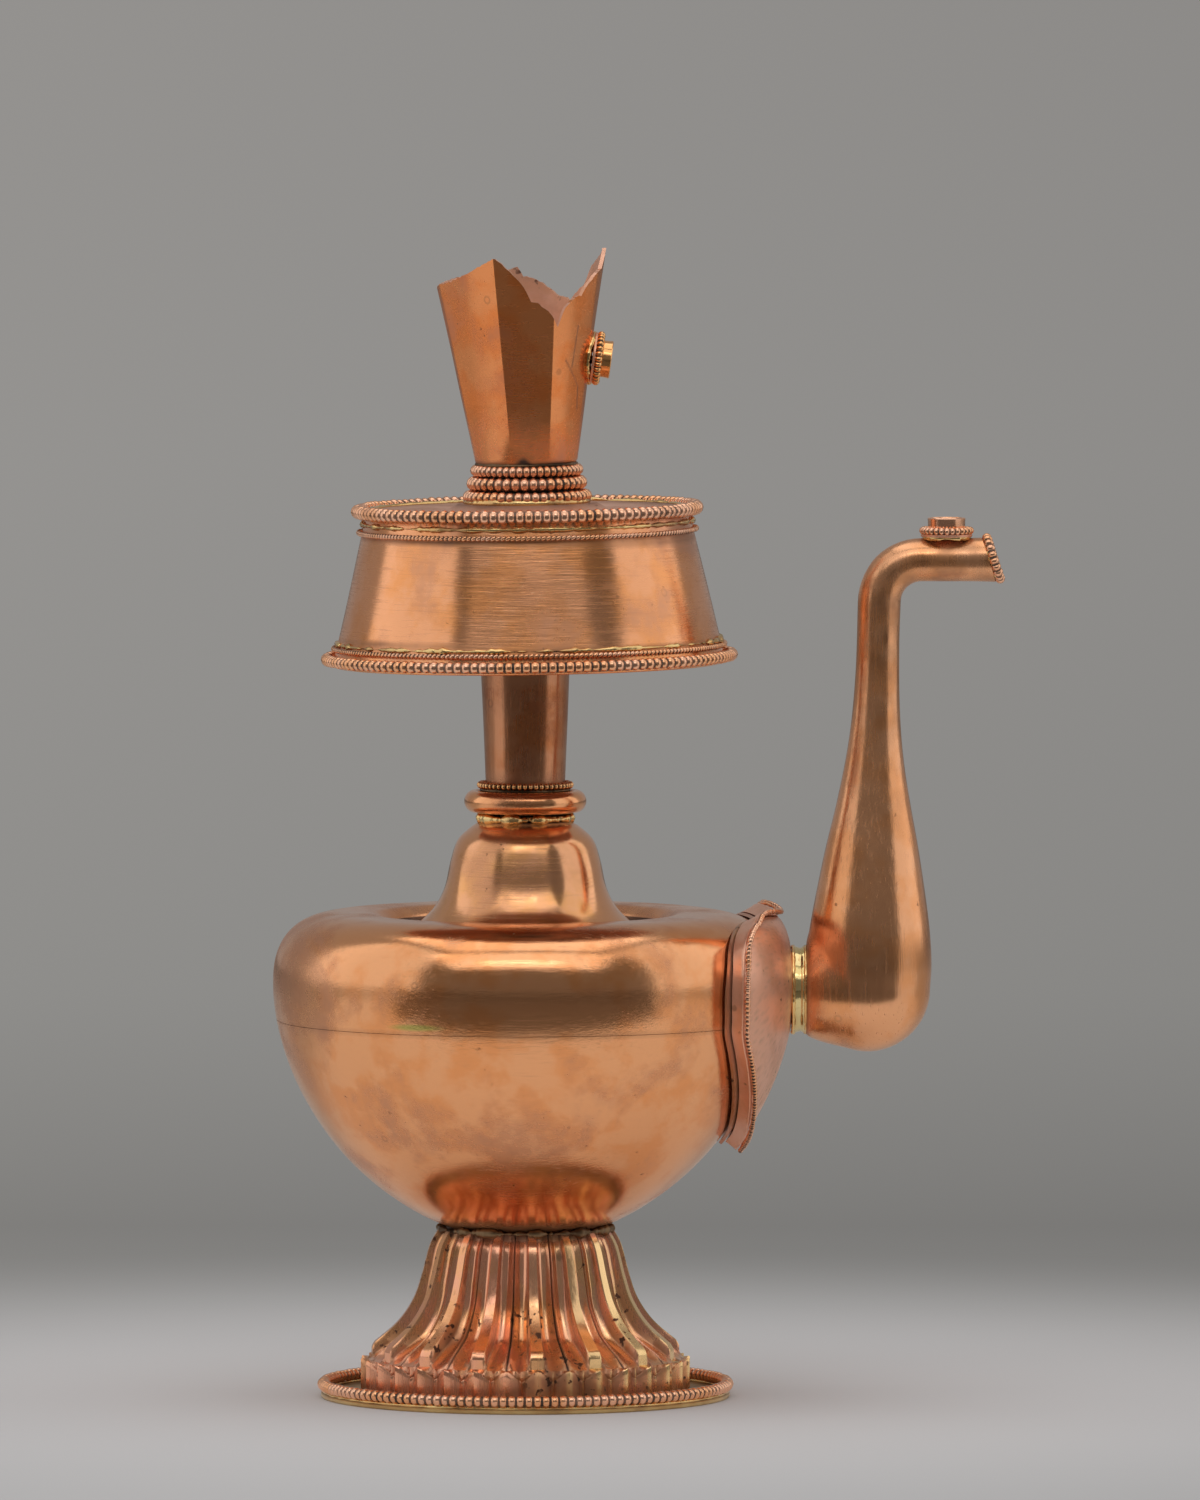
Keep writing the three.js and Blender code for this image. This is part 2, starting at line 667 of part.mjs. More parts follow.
function addShield() {
  const backTop = shieldSeat + shieldSheet;
  add(vase, "shield_back_plate", shieldSheetSkin(-shieldFlange, shieldSeat, backTop));

  const foot = backTop + jointGap;
  const { top, wall } = shieldRim;
  const rim = [[wall, foot], [wall, top], [0, top], [0, foot]];
  const rimPoint = (step, side) => shieldPoint(step, 0, ...rim[side]);
  add(vase, "shield_rim", skin(shieldSteps, rim.length, rimPoint, true));

  const wireOffset = top + jointGap + shieldWire / 2;
  const wireSides = 3;
  add(vase, "shield_wire", skin(shieldSteps, wireSides, (step, side) => {
    const corner = (side * 2 * Math.PI) / wireSides;
    const inward = (shieldWire / 2) * Math.sin(corner);
    const outward = (shieldWire / 2) * Math.cos(corner);
    return shieldPoint(step, 0, wall / 2 - inward, wireOffset + outward);
  }, true));

  const face = shieldSheetSkin(wall + jointGap, shieldLift - shieldSheet, shieldLift, shieldDish);
  add(vase, "shield_face", face);
}

// Lays a shape made round the Z axis along the axis of the spout hole
function alongSpoutHole(geometry) {
  return geometry.rotateY(Math.PI / 2).translate(0, 0, spoutHeight);
}

function addCollar() {
  const { radius, length, dish, edge } = collar;
  const profile = [
    [spoutBore, 0],
    [radius - edge, -dish],
    [radius, edge - dish],
    [radius, length - edge],
    [radius - edge, length],
    [spoutBore, length],
  ];
  const ring = add(vase, "spout_collar", turned(closed(profile), smallSteps), brass);
  ring.rotation.y = Math.PI / 2;
  ring.position.set(collarBack, 0, spoutHeight);
}

const bendFoot = { x: bulbCentre + spoutLean, z: spoutHeight + spoutRise - bendRadius };
const spoutLevel = spoutHeight + spoutRise;
const mouthReach = bendFoot.x + bendRadius + levelLength;

// Radius of the rising tube against the share of its height
const taperCurve = new THREE.SplineCurve([
  new THREE.Vector2(bulbRadius, 0),
  ...spoutTaper.map(([radius, up]) => new THREE.Vector2(radius, up)),
  new THREE.Vector2(spoutRadius, 1),
]);

// Rings along the spout: centre in the XZ plane, direction of travel and radius
function spoutRings(wall, reach) {
  const rings = [];
  const bulbSteps = 5;
  const closing = -0.48 * Math.PI; // the lowest ring of the bulb, just off its pole
  for (let i = 0; i < bulbSteps; i += 1) {
    const angle = closing * (1 - i / bulbSteps);
    const round = bulbRadius - wall;
    const z = spoutHeight + round * Math.sin(angle);
    rings.push({ x: bulbCentre, z, travel: 90, radius: round * Math.cos(angle) });
  }
  const riseSteps = 8;
  for (let i = 0; i <= riseSteps; i += 1) {
    const { x: radius, y: up } = taperCurve.getPoint(i / riseSteps);
    const x = lerp(bulbCentre, bendFoot.x, up);
    rings.push({ x, z: lerp(spoutHeight, bendFoot.z, up), travel: 90, radius: radius - wall });
  }
  const bendSteps = 6;
  for (let i = 1; i <= bendSteps; i += 1) {
    const travel = 90 - (90 * i) / bendSteps;
    const x = bendFoot.x + bendRadius * (1 - Math.sin(travel * degree));
    const z = bendFoot.z + bendRadius * Math.cos(travel * degree);
    rings.push({ x, z, travel, radius: spoutRadius - wall });
  }
  rings.push({ x: reach, z: spoutLevel, travel: 0, radius: spoutRadius - wall });
  return rings;
}

function spoutSolid(wall, reach, sides) {
  const rings = spoutRings(wall, reach);
  return toSolid(skin(rings.length, sides, (ring, side) => {
    const { x, z, travel, radius } = rings[ring];
    const corner = (side * 2 * Math.PI) / sides;
    const level = radius * Math.cos(corner);
    const facing = travel * degree;
    return [x + level * Math.sin(facing), radius * Math.sin(corner), z - level * Math.cos(facing)];
  }));
}

const mouthNormal = [Math.cos(mouthTilt * degree), 0, Math.sin(mouthTilt * degree)];

function addSpoutTube() {
  const overrun = mouthReach + 2 * spoutRadius;
  const stubFoot = collarFront + jointGap;
  const stubEnd = stubFoot + stub.length;
  const side = toSolid(alongSpoutHole(turned([
    [0, stubFoot],
    [collar.radius - collar.edge, stubFoot],
    [collar.radius, stubFoot + stub.length / 3],
    [collar.radius + stub.flare, stubFoot + (stub.length * 2) / 3],
    [collar.radius + stub.flare, stubEnd],
    [0, stubEnd],
  ], smallSteps)));
  const plane = mouthNormal[0] * mouthReach + mouthNormal[2] * spoutLevel;
  const tube = spoutSolid(0, overrun, 18)
    .add(side)
    .subtract(spoutSolid(spoutWall, overrun + 1, 12))
    .subtract(spoutBar(collarFront - 1, bulbCentre))
    .trimByPlane(mouthNormal.map((value) => -value), -plane);
  add(vase, "spout_tube", toGeometry(tube));
}

function addSpoutTrim() {
  const clear = jointGap + mouthWire.thickness / 2;
  const ring = add(vase, "spout_mouth_bead_ring", beadWire({ ...mouthWire, radius: spoutRadius }));
  ring.position.set(mouthReach + clear * mouthNormal[0], 0, spoutLevel + clear * mouthNormal[2]);
  ring.rotation.y = Math.PI / 2 - mouthTilt * degree;

  addBezel(vase, "spout").position.set(mouthReach - bezelBack, 0, spoutLevel + spoutRadius);
}

addBase();
addFoot();
addBody();
addDome();
addNeck();
addCanopy();
addCrown();
addShield();
addCollar();
addSpoutTube();
addSpoutTrim();

export default vase;
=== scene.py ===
import bpy
import bmesh
import bisect
import math
from mathutils import Matrix, Vector, noise


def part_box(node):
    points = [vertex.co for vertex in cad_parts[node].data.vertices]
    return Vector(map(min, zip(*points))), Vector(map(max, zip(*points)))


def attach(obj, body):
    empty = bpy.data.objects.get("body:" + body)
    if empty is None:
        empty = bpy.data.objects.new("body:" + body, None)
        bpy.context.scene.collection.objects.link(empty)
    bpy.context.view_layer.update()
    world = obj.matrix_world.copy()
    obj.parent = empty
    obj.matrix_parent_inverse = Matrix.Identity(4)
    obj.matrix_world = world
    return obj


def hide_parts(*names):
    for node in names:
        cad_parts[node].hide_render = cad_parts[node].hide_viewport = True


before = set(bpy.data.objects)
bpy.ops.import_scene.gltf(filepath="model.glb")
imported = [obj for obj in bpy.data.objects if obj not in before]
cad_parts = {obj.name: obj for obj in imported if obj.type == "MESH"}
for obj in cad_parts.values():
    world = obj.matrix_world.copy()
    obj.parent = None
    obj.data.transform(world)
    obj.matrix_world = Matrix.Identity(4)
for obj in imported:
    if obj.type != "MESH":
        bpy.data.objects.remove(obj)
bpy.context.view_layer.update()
mm = 0.001
rad = math.radians
twoPi = 2 * math.pi


# Shader sums: sockets that take part in Python expressions

def operator(operation, swapped=False):
    def apply(self, other):
        return self.sum(operation, other, self) if swapped else self.sum(operation, self, other)
    return apply


class Val:
    __add__ = __radd__ = operator("ADD")
    __mul__ = __rmul__ = operator("MULTIPLY")
    __sub__ = operator("SUBTRACT")
    __rsub__ = operator("SUBTRACT", swapped=True)
    __truediv__ = operator("DIVIDE")
    __pow__ = operator("POWER")

    def __init__(self, maker, socket):
        self.maker = maker
        self.socket = socket

    def sum(self, operation, *values, clamp=False):
        settings = {"operation": operation, "use_clamp": clamp}
        return Val(self.maker, self.maker.node("Math", settings, dict(enumerate(values))).outputs[0])

    def clamped(self):
        return self.sum("ADD", self, 0.0, clamp=True)

    def between(self, low, high):
        return self.sum("MAXIMUM", self.sum("MINIMUM", self, high), low)

    def stepped(self, low, high):  # 0 below low, 1 above high, smooth between
        settings = {"interpolation_type": "SMOOTHSTEP"}
        made = self.maker.node("MapRange", settings, {0: self, 1: low, 2: high})
        return Val(self.maker, made.outputs[0])


sharedNodes = ("Math", "MapRange", "SeparateXYZ", "CombineXYZ", "VectorMath")


class Nodes:  # makes and links the nodes of one tree
    def __init__(self, tree, prefix):
        self.tree = tree
        self.prefix = prefix

    def node(self, kind, settings=None, inputs=None):
        prefix = "ShaderNode" if kind in sharedNodes else self.prefix
        made = self.tree.nodes.new(kind if "Node" in kind else prefix + kind)
        for key, value in (settings or {}).items():
            if key == "stops":
                self.setStops(made.color_ramp, value)
            else:
                setattr(made, key, value)
        for key, value in (inputs or {}).items():
            self.feed(made.inputs[key], value)
        return made

    def feed(self, socket, value):
        if isinstance(value, bpy.types.Node):
            value = value.outputs[0]
        if isinstance(value, Val):
            value = value.socket
        if isinstance(value, bpy.types.NodeSocket):
            self.tree.links.new(value, socket)
        else:
            socket.default_value = value

    def split(self, vector):
        return [Val(self, socket) for socket in self.node("SeparateXYZ", None, {0: vector}).outputs]

    def length(self, vector):
        return Val(self, self.node("VectorMath", {"operation": "LENGTH"}, {0: vector}).outputs["Value"])

    def setStops(self, ramp, stops):
        while len(ramp.elements) < len(stops):
            ramp.elements.new(1.0)
        for element, (place, colour) in zip(ramp.elements, stops):
            element.position = place
            element.color = (*colour, 1.0)


class Shader(Nodes):
    def __init__(self, owner):
        owner.use_nodes = True
        self.owner = owner
        owner.node_tree.nodes.clear()
        super().__init__(owner.node_tree, "ShaderNode")

    def mixed(self, factor, first, second, blend="MIX"):
        settings = {"data_type": "RGBA", "blend_type": blend}
        return self.node("Mix", settings, {0: factor, 6: first, 7: second}).outputs[2]

    def noisy(self, place, scale, detail=3.0, rough=0.5, stretch=None, turn=(0, 0, 0), warp=0.0):
        if stretch:
            mapping = {"Vector": place, "Scale": stretch, "Rotation": turn}
            place = self.node("Mapping", None, mapping)
        inputs = {"Vector": place, "Scale": scale, "Detail": detail, "Roughness": rough, "Distortion": warp}
        return Val(self, self.node("TexNoise", None, inputs).outputs[0])

    def attribute(self, name):
        return Val(self, self.node("Attribute", {"attribute_name": name}).outputs["Fac"])

    def finishSurface(self, shader):
        self.node("OutputMaterial", None, {0: shader})
        return self.owner


# Finishes: a row for each, with colours as a lit surface shows them

finishColumns = (
    "clean", "warm", "tarnish", "tarnishFrom", "smooth", "rough", "scratch", "grain", "spots", "more",
)
finishes = {
    "polishedCopper": ((0.90, 0.43, 0.205), (0.87, 0.36, 0.14), (0.60, 0.295, 0.175),
        0.48, 0.15, 0.32, 0.20, "cross", 0.60, {"film": 0.03}),
    "brushedCopper": ((0.94, 0.435, 0.215), (0.91, 0.38, 0.145), (0.70, 0.345, 0.21),
        0.50, 0.22, 0.32, 0.50, "level", 0.35, {"brushed": 0.85, "dents": 0.26}),
    "drawnCopper": ((0.70, 0.32, 0.17), (0.66, 0.24, 0.09), (0.34, 0.13, 0.07),
        0.46, 0.18, 0.32, 0.16, "upright", 0.90, {"film": 0.03, "dents": 0.30}),
    "wornCopper": ((0.89, 0.44, 0.225), (0.87, 0.42, 0.16), (0.63, 0.30, 0.17),
        0.48, 0.16, 0.27, 0.12, "level", 0.70, {"film": 0.04, "dents": 0.20, "brushed": 0.70}),
    "beatenCopper": ((1.00, 0.37, 0.135), (1.00, 0.30, 0.08), (0.72, 0.28, 0.15),
        0.48, 0.17, 0.34, 0.07, "cross", 0.70, {"film": 0.05, "dents": 0.18, "scorch": (179.50, 190.00)}),
    "spunCopper": ((0.87, 0.43, 0.22), (0.83, 0.37, 0.16), (0.50, 0.26, 0.17),
        0.53, 0.20, 0.36, 0.34, "upright", 0.50, {"dents": 0.22, "film": 0.03}),
    "firedCopper": ((0.86, 0.46, 0.31), (0.80, 0.40, 0.24), (0.60, 0.32, 0.23),
        0.48, 0.32, 0.50, 0.14, "cross", 1.00, {"film": 0.35, "pits": 0.64}),
    "wireCopper": ((0.92, 0.51, 0.33), (0.90, 0.44, 0.22), (0.62, 0.32, 0.20),
        0.54, 0.19, 0.32, 0.04, "cross", 0.30, {"film": 0.06}),
    "agedCopper": ((0.96, 0.455, 0.28), (0.93, 0.46, 0.21), (0.46, 0.20, 0.12),
        0.50, 0.15, 0.36, 0.20, "upright", 1.30, {"film": 0.08, "pits": 0.60, "gilt": 0.80}),
    "goldenCopper": ((0.96, 0.53, 0.24), (0.92, 0.46, 0.17), (0.60, 0.32, 0.16),
        0.54, 0.14, 0.28, 0.06, "cross", 0.40, {}),
    "solderBrass": ((0.88, 0.62, 0.27), (0.80, 0.50, 0.20), (0.45, 0.27, 0.14),
        0.50, 0.18, 0.40, 0.05, "cross", 0.60, {}),
    "brightBrass": ((0.88, 0.70, 0.34), (0.84, 0.62, 0.24), (0.50, 0.33, 0.14),
        0.54, 0.07, 0.22, 0.08, "cross", 1.00, {}),
    "dirtySolder": ((0.24, 0.155, 0.085), (0.15, 0.09, 0.05), (0.05, 0.035, 0.025),
        0.46, 0.38, 0.65, 0.05, "cross", 1.00, {}),
}
stain = {"place": (-20.5, -43.0, 73.4), "size": (7.8, 6.0, 0.9), "colour": (0.36, 0.42, 0.10)}

grimeAndShadeColour = (0.045, 0.028, 0.020, 1.0)
spotBrown = (0.16, 0.075, 0.045, 1.0)
highlightGold = (0.99, 0.71, 0.33, 1.0)
scales = {"patches": 34, "clouds": 95, "specks": 620, "drops": 150.0, "dents": 62}
grains = {  # fine and coarse noise: scale, detail, roughness, stretch, turn
    "level": ((1.0, 3, 0.6, (90, 90, 2600)), (1.0, 2, 0.5, (260, 260, 1300))),
    "upright": ((1.0, 3, 0.6, (2200, 2200, 80)), (1.0, 2, 0.5, (800, 800, 150))),
    "cross": ((1.0, 3, 0.6, (90, 2600, 2600), (0.5, 0.3, 0.9)),
              (1.0, 3, 0.6, (2400, 110, 2600), (0.2, 0.8, 0.3))),
}


def makeFinish(name, row):
    look = dict(zip(finishColumns, row))
    look.update(look.pop("more"))
    shader = Shader(bpy.data.materials.new(name))
    place = shader.node("TexCoord").outputs["Object"]
    patches = shader.noisy(place, scales["patches"], 5, 0.62, warp=0.6)
    clouds = shader.noisy(place, scales["clouds"], 4, 0.6)
    specks = shader.noisy(place, scales["specks"], 2, 0.5)
    dirt = shader.attribute("dirt")
    fine, coarse = (shader.noisy(place, *layer) for layer in grains[look["grain"]])

    edge = look["tarnishFrom"]
    tarnish = (patches * 0.65 + clouds * 0.35).stepped(edge, edge + 0.16)
    pits = look.get("pits", 0.70)
    spots = specks.stepped(pits, pits + 0.06) * clouds.stepped(0.50, 0.62) * look["spots"]
    colour = shader.mixed(clouds.stepped(0.43, 0.60), (*look["clean"], 1), (*look["warm"], 1))
    colour = shader.mixed(tarnish * 0.8, colour, (*look["tarnish"], 1))
    colour = shader.mixed((fine.stepped(0.60, 0.72) * 0.22).clamped(), colour, (*look["tarnish"], 1))
    colour = shader.mixed(spots.clamped(), colour, spotBrown)
    cells = {"Vector": place, "Scale": scales["drops"], "Randomness": 1.0}
    drops = shader.node("TexVoronoi", {"feature": "F1"}, cells)
    away = Val(shader, drops.outputs["Distance"])
    chance = shader.node("SeparateColor", None, {0: drops.outputs["Color"]}).outputs[0]
    lucky = Val(shader, chance).stepped(0.88, 0.90)
    ring = away.stepped(0.06, 0.09) * away.stepped(0.15, 0.11) * lucky * look["spots"]
    colour = shader.mixed((ring * 0.4).clamped(), colour, spotBrown)
    if "gilt" in look:  # painted highlight: the high places on the right side are painted gold
        highlight = shader.split(place)[0].stepped(-4 * mm, 16 * mm)
        highlight = highlight * dirt.stepped(0.12, 0.0) * (1.0 - spots).clamped()
        colour = shader.mixed(highlight * look["gilt"], colour, highlightGold)
    film = look.get("film", 0.0)
    if "scorch" in look:  # heights between which the metal is heat stained, strongest at the lower one
        low, high = look["scorch"]
        film = shader.split(place)[2].stepped(high * mm, low * mm)
        film = film * clouds.stepped(0.3, 0.6) * 0.5 + look["film"]
    if name == "polishedCopper":
        centre, size = Vector(stain["place"]) * mm, Vector(stain["size"]) * mm
        shift = [-c / e for c, e in zip(centre, size)]
        mapping = {"Vector": place, "Location": shift, "Scale": [1 / e for e in size]}
        inside = shader.length(shader.node("Mapping", None, mapping)).stepped(1.0, 0.3)
        colour = shader.mixed(inside * 0.7, colour, (*stain["colour"], 1))
    # the stored darkening mixes in real grime at seams, joints and cracks, and painted shade in bead gaps,
    # creases, grooves and recesses
    shadeAndCrust = (dirt * (0.55 + clouds)).clamped()
    colour = shader.mixed(shadeAndCrust, colour, grimeAndShadeColour)

    span = look["rough"] - look["smooth"]
    roughness = look["smooth"] + span * tarnish + 0.10 * fine.stepped(0.45, 0.75) + 0.35 * shadeAndCrust + 0.3 * spots
    height = fine * 0.6 + coarse * 0.4 + 0.5 * spots
    hammered = shader.noisy(place, scales["dents"], 1, 0.4)
    deep = {"Strength": look.get("dents", 0.13), "Distance": 1.4 * mm, "Height": hammered}
    shallow = {"Strength": look["scratch"], "Distance": 0.12 * mm, "Height": height}
    shallow["Normal"] = shader.node("Bump", None, deep)
    bump = shader.node("Bump", None, shallow)
    surface = shader.node("BsdfPrincipled", None, {
        "Base Color": colour, "Metallic": (1.0 - film) * (1.0 - 0.75 * shadeAndCrust),
        "Roughness": roughness.clamped(), "Normal": bump, "Anisotropic": look.get("brushed", 0.0),
        "Anisotropic Rotation": 0.25,
    })
    return shader.finishSurface(surface)


materials = {name: makeFinish(name, row) for name, row in finishes.items()}
print("finishes made:", len(materials))


# Mesh helpers; sizes in millimetres until the mesh is made

def turns(steps):
    return [twoPi * i / steps for i in range(steps)]


def around(radius, turn, height=0.0):
    return Vector((radius * math.cos(turn), radius * math.sin(turn), height))


def fromAxis(p):
    return math.hypot(p.x, p.y)


def clipped(value, low=0.0):
    return min(max(value, low), 1.0)


def near(value, place, peak, fade):  # the peak at a place, fading to nothing beside it
    return max(0.0, peak - abs(value - place) * fade)


def linked(name, data):
    piece = bpy.data.objects.new(name, data)
    bpy.context.collection.objects.link(piece)
    return piece


def makeObject(points, faces, finish, sharp=38):
    mesh = bpy.data.meshes.new("piece")
    mesh.from_pydata([Vector(p) * mm for p in points], [], faces)
    work = bmesh.new()
    work.from_mesh(mesh)
    bmesh.ops.remove_doubles(work, verts=work.verts, dist=1e-6)
    bmesh.ops.dissolve_degenerate(work, edges=work.edges, dist=1e-7)
    bmesh.ops.recalc_face_normals(work, faces=work.faces)
    work.to_mesh(mesh)
    work.free()
    mesh.shade_smooth()
    mesh.set_sharp_from_angle(angle=rad(sharp))
    mesh.materials.append(materials[finish])
    return linked("piece", mesh)


def storeGrimeAndShade(mesh, values):
    mesh.attributes.new("dirt", "FLOAT", "POINT").data.foreach_set("value", values)


def gridObject(rows, finish, loop=False, sharp=38, move=None):
    columns = len(rows[0])
    points = [point for row in rows for point in row]
    if move:
        points = [move @ Vector(point) for point in points]
    faces = []
    for r in range(len(rows) if loop else len(rows) - 1):
        below = r * columns
        above = ((r + 1) % len(rows)) * columns
        for c in range(columns):
            d = (c + 1) % columns
            faces.append((below + c, below + d, above + d, above + c))
    return makeObject(points, faces, finish, sharp)


def turned(profile, finish, steps=192, loop=True, sharp=38, move=None, wobble=0.0):
    rows = []
    for radius, height in profile:
        row = [around(radius, turn, height) for turn in turns(steps)]
        if wobble and radius > 0:
            for turn, point in zip(turns(steps), row):
                point += around(1, turn) * wobble * noise.noise(point * 0.055 + Vector((3, 7, 1)))
        rows.append(row)
    return gridObject(rows, finish, loop, sharp, move)


def catmullRom(points, perSpan):
    result = []
    for i in range(len(points) - 1):
        p1, p2 = points[i], points[i + 1]
        p0 = points[i - 1] if i else tuple(2 * a - b for a, b in zip(p1, p2))
        p3 = points[i + 2] if i + 2 < len(points) else tuple(2 * b - a for a, b in zip(p1, p2))
        for k in range(perSpan):
            t = k / perSpan
            result.append(tuple(
                0.5 * (2 * b + (c - a) * t + (2 * a - 5 * b + 4 * c - d) * t * t
                       + (3 * b - a - 3 * c + d) * t ** 3)
                for a, b, c, d in zip(p0, p1, p2, p3)))
    return result + [tuple(points[-1])]


def inset(outline, distance):
    moved = []
    for i, (x, y) in enumerate(outline):
        normals = []
        for j in (i - 1, i):
            if 0 <= j < len(outline) - 1:
                dx = outline[j + 1][0] - outline[j][0]
                dy = outline[j + 1][1] - outline[j][1]
                size = math.hypot(dx, dy) or 1
                normals.append((-dy / size, dx / size))
        nx = sum(n[0] for n in normals)
        ny = sum(n[1] for n in normals)
        size = math.hypot(nx, ny) or 1
        nx, ny = nx / size, ny / size
        reach = distance / max(nx * normals[-1][0] + ny * normals[-1][1], 0.5)
        moved.append((x + nx * reach, y + ny * reach))
    return moved


def roundEnd(first, second, steps=5):  # half circle from one edge point to the other
    middle = ((first[0] + second[0]) / 2, (first[1] + second[1]) / 2)
    rx, ry = first[0] - middle[0], first[1] - middle[1]
    arc = [math.pi * k / steps for k in range(1, steps)]
    return [(middle[0] + rx * math.cos(a) - ry * math.sin(a), middle[1] + rx * math.sin(a) + ry * math.cos(a))
            for a in arc]


def sheetSection(outline, thickness):
    inner = inset(outline, thickness)[::-1]
    return outline + roundEnd(outline[-1], inner[0]) + inner + roundEnd(inner[-1], outline[0])


def settle(piece, name):
    piece.name = piece.data.name = name
    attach(piece, "root")


def dress(piece, node, dirt=None):  # base_plate's mesh is called basePlate
    if dirt:
        storeGrimeAndShade(piece.data, [clipped(dirt(v.co / mm)) for v in piece.data.vertices])
    settle(piece, node[0] + node.title().replace("_", "")[1:])
    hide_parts(node)


def placed(x, z, turn=0.0):  # in the plane of the spout
    return Matrix.Translation((x, 0, z)) @ Matrix.Rotation(turn, 4, "Y")


def leaning(angle, pivot, shift=0.0):
    return placed(shift, pivot, rad(-angle)) @ placed(0, -pivot)


# Bead and twisted wires: one Geometry Nodes tree, fed with a path and a few sizes

def newTree(name, inputs):  # an empty tree with named inputs
    tree = bpy.data.node_groups.new(name, "GeometryNodeTree")
    for label, kind, default in [("Geometry", "Geometry", None), *inputs, ("Material", "Material", None)]:
        socket = tree.interface.new_socket(label, in_out="INPUT", socket_type="NodeSocket" + kind)
        if default is not None:
            socket.default_value = default
    tree.interface.new_socket("Geometry", in_out="OUTPUT", socket_type="NodeSocketGeometry")
    maker = Nodes(tree, "GeometryNode")
    return maker, maker.node("NodeGroupInput").outputs


def closeTree(maker, given, shape, last, inputs=None):
    real = maker.node("RealizeInstances", None, {0: shape})
    done = maker.node(last, None, {0: real, **(inputs or {})})
    painted = maker.node("SetMaterial", None, {"Geometry": done, "Material": given["Material"]})
    maker.node("NodeGroupOutput", None, {0: painted})
    return maker.tree


def soiledAndShaded(maker, shape, dirt):
    settings = {"data_type": "FLOAT", "domain": "POINT"}
    inputs = {"Geometry": shape, "Name": "dirt", "Value": dirt}
    return maker.node("StoreNamedAttribute", settings, inputs)


# painted shade: the ends of each bead and the core wire between beads are darkened, where the gaps fall in
# shade
bead = {
    "segments": 12, "rings": 8, "barrel": -0.38, "thin": 0.2, "gapShadeFrom": 0.70, "gapShadeTo": 0.98,
    "coreSides": 8, "coreShade": 0.85,
}


def makeWireTree():
    maker, given = newTree("beadWire", [
        ("Count", "Int", 100), ("Bead Radius", "Float", 0.001), ("Bead Length", "Float", 0.001),
        ("Core Radius", "Float", 0.0006), ("Slant", "Float", 0.0), ("Unevenness", "Float", 0.06),
        ("Seed", "Int", 1),
    ])
    node = maker.node
    path = node("ResampleCurve", None, {"Curve": given["Geometry"], "Count": given["Count"]})
    stops = node("CurveToPoints", {"mode": "EVALUATED"}, {"Curve": path}).outputs
    ball = node("MeshUVSphere", None, {"Segments": bead["segments"], "Rings": bead["rings"], "Radius": 1.0})
    place = node("InputPosition")
    x, y, z = maker.split(place)
    girth = maker.length(node("CombineXYZ", None, {0: x, 1: y}))
    swell = girth.sum("MAXIMUM", girth, bead["thin"]) ** bead["barrel"]
    wide = node("CombineXYZ", None, {0: swell, 1: swell, 2: 1.0})
    moved = node("VectorMath", {"operation": "MULTIPLY"}, {0: place, 1: wide})
    barrel = node("SetPosition", None, {"Geometry": ball.outputs["Mesh"], "Position": moved})
    # painted shade towards each bead's ends, in the gaps
    away = z.sum("ABSOLUTE", z)
    endShade = node("MapRange", None, {0: away, 1: bead["gapShadeFrom"], 2: bead["gapShadeTo"]})
    ball = soiledAndShaded(maker, barrel, endShade)
    thick = given["Bead Radius"]
    size = node("CombineXYZ", None, {0: thick, 1: thick, 2: given["Bead Length"]})
    uneven = Val(maker, given["Unevenness"])
    span = {2: 1.0 - uneven, 3: 1.0 + uneven, "Seed": given["Seed"]}
    chance = node("FunctionNodeRandomValue", {"data_type": "FLOAT"}, span)
    sizes = node("VectorMath", {"operation": "SCALE"}, {0: size, "Scale": chance.outputs[1]})
    tilt = node("CombineXYZ", None, {0: given["Slant"]})
    aims = {0: stops["Rotation"], 1: tilt}
    aim = node("FunctionNodeRotateRotation", {"rotation_space": "LOCAL"}, aims)
    beads = node("InstanceOnPoints", None, {
        "Points": stops["Points"], "Instance": ball, "Rotation": aim, "Scale": sizes,
    })
    hoop = {"Resolution": bead["coreSides"], "Radius": given["Core Radius"]}
    loop = node("CurvePrimitiveCircle", {"mode": "RADIUS"}, hoop)
    core = node("CurveToMesh", None, {0: path, 1: loop})
    both = node("JoinGeometry", None, {0: beads})
    # the core, seen only between beads, is darkened as painted shade
    maker.feed(both.inputs[0], soiledAndShaded(maker, core, bead["coreShade"]))
    return closeTree(maker, given, both, "SetShadeSmooth")


wireTree = makeWireTree()


def grown(data, tree, values):  # the plain mesh that the tree makes of a path or a mesh
    holder = linked("holder", data)
    modifier = holder.modifiers.new(tree.name, "NODES")
    modifier.node_group = tree
    for socket in tree.interface.items_tree:
        if socket.in_out == "INPUT" and socket.name in values:
            modifier[socket.identifier] = values[socket.name]
    bpy.context.view_layer.update()
    graph = bpy.context.evaluated_depsgraph_get()
    mesh = bpy.data.meshes.new_from_object(holder.evaluated_get(graph))
    bpy.data.objects.remove(holder)
    (bpy.data.curves if isinstance(data, bpy.types.Curve) else bpy.data.meshes).remove(data)
    return linked("piece", mesh)


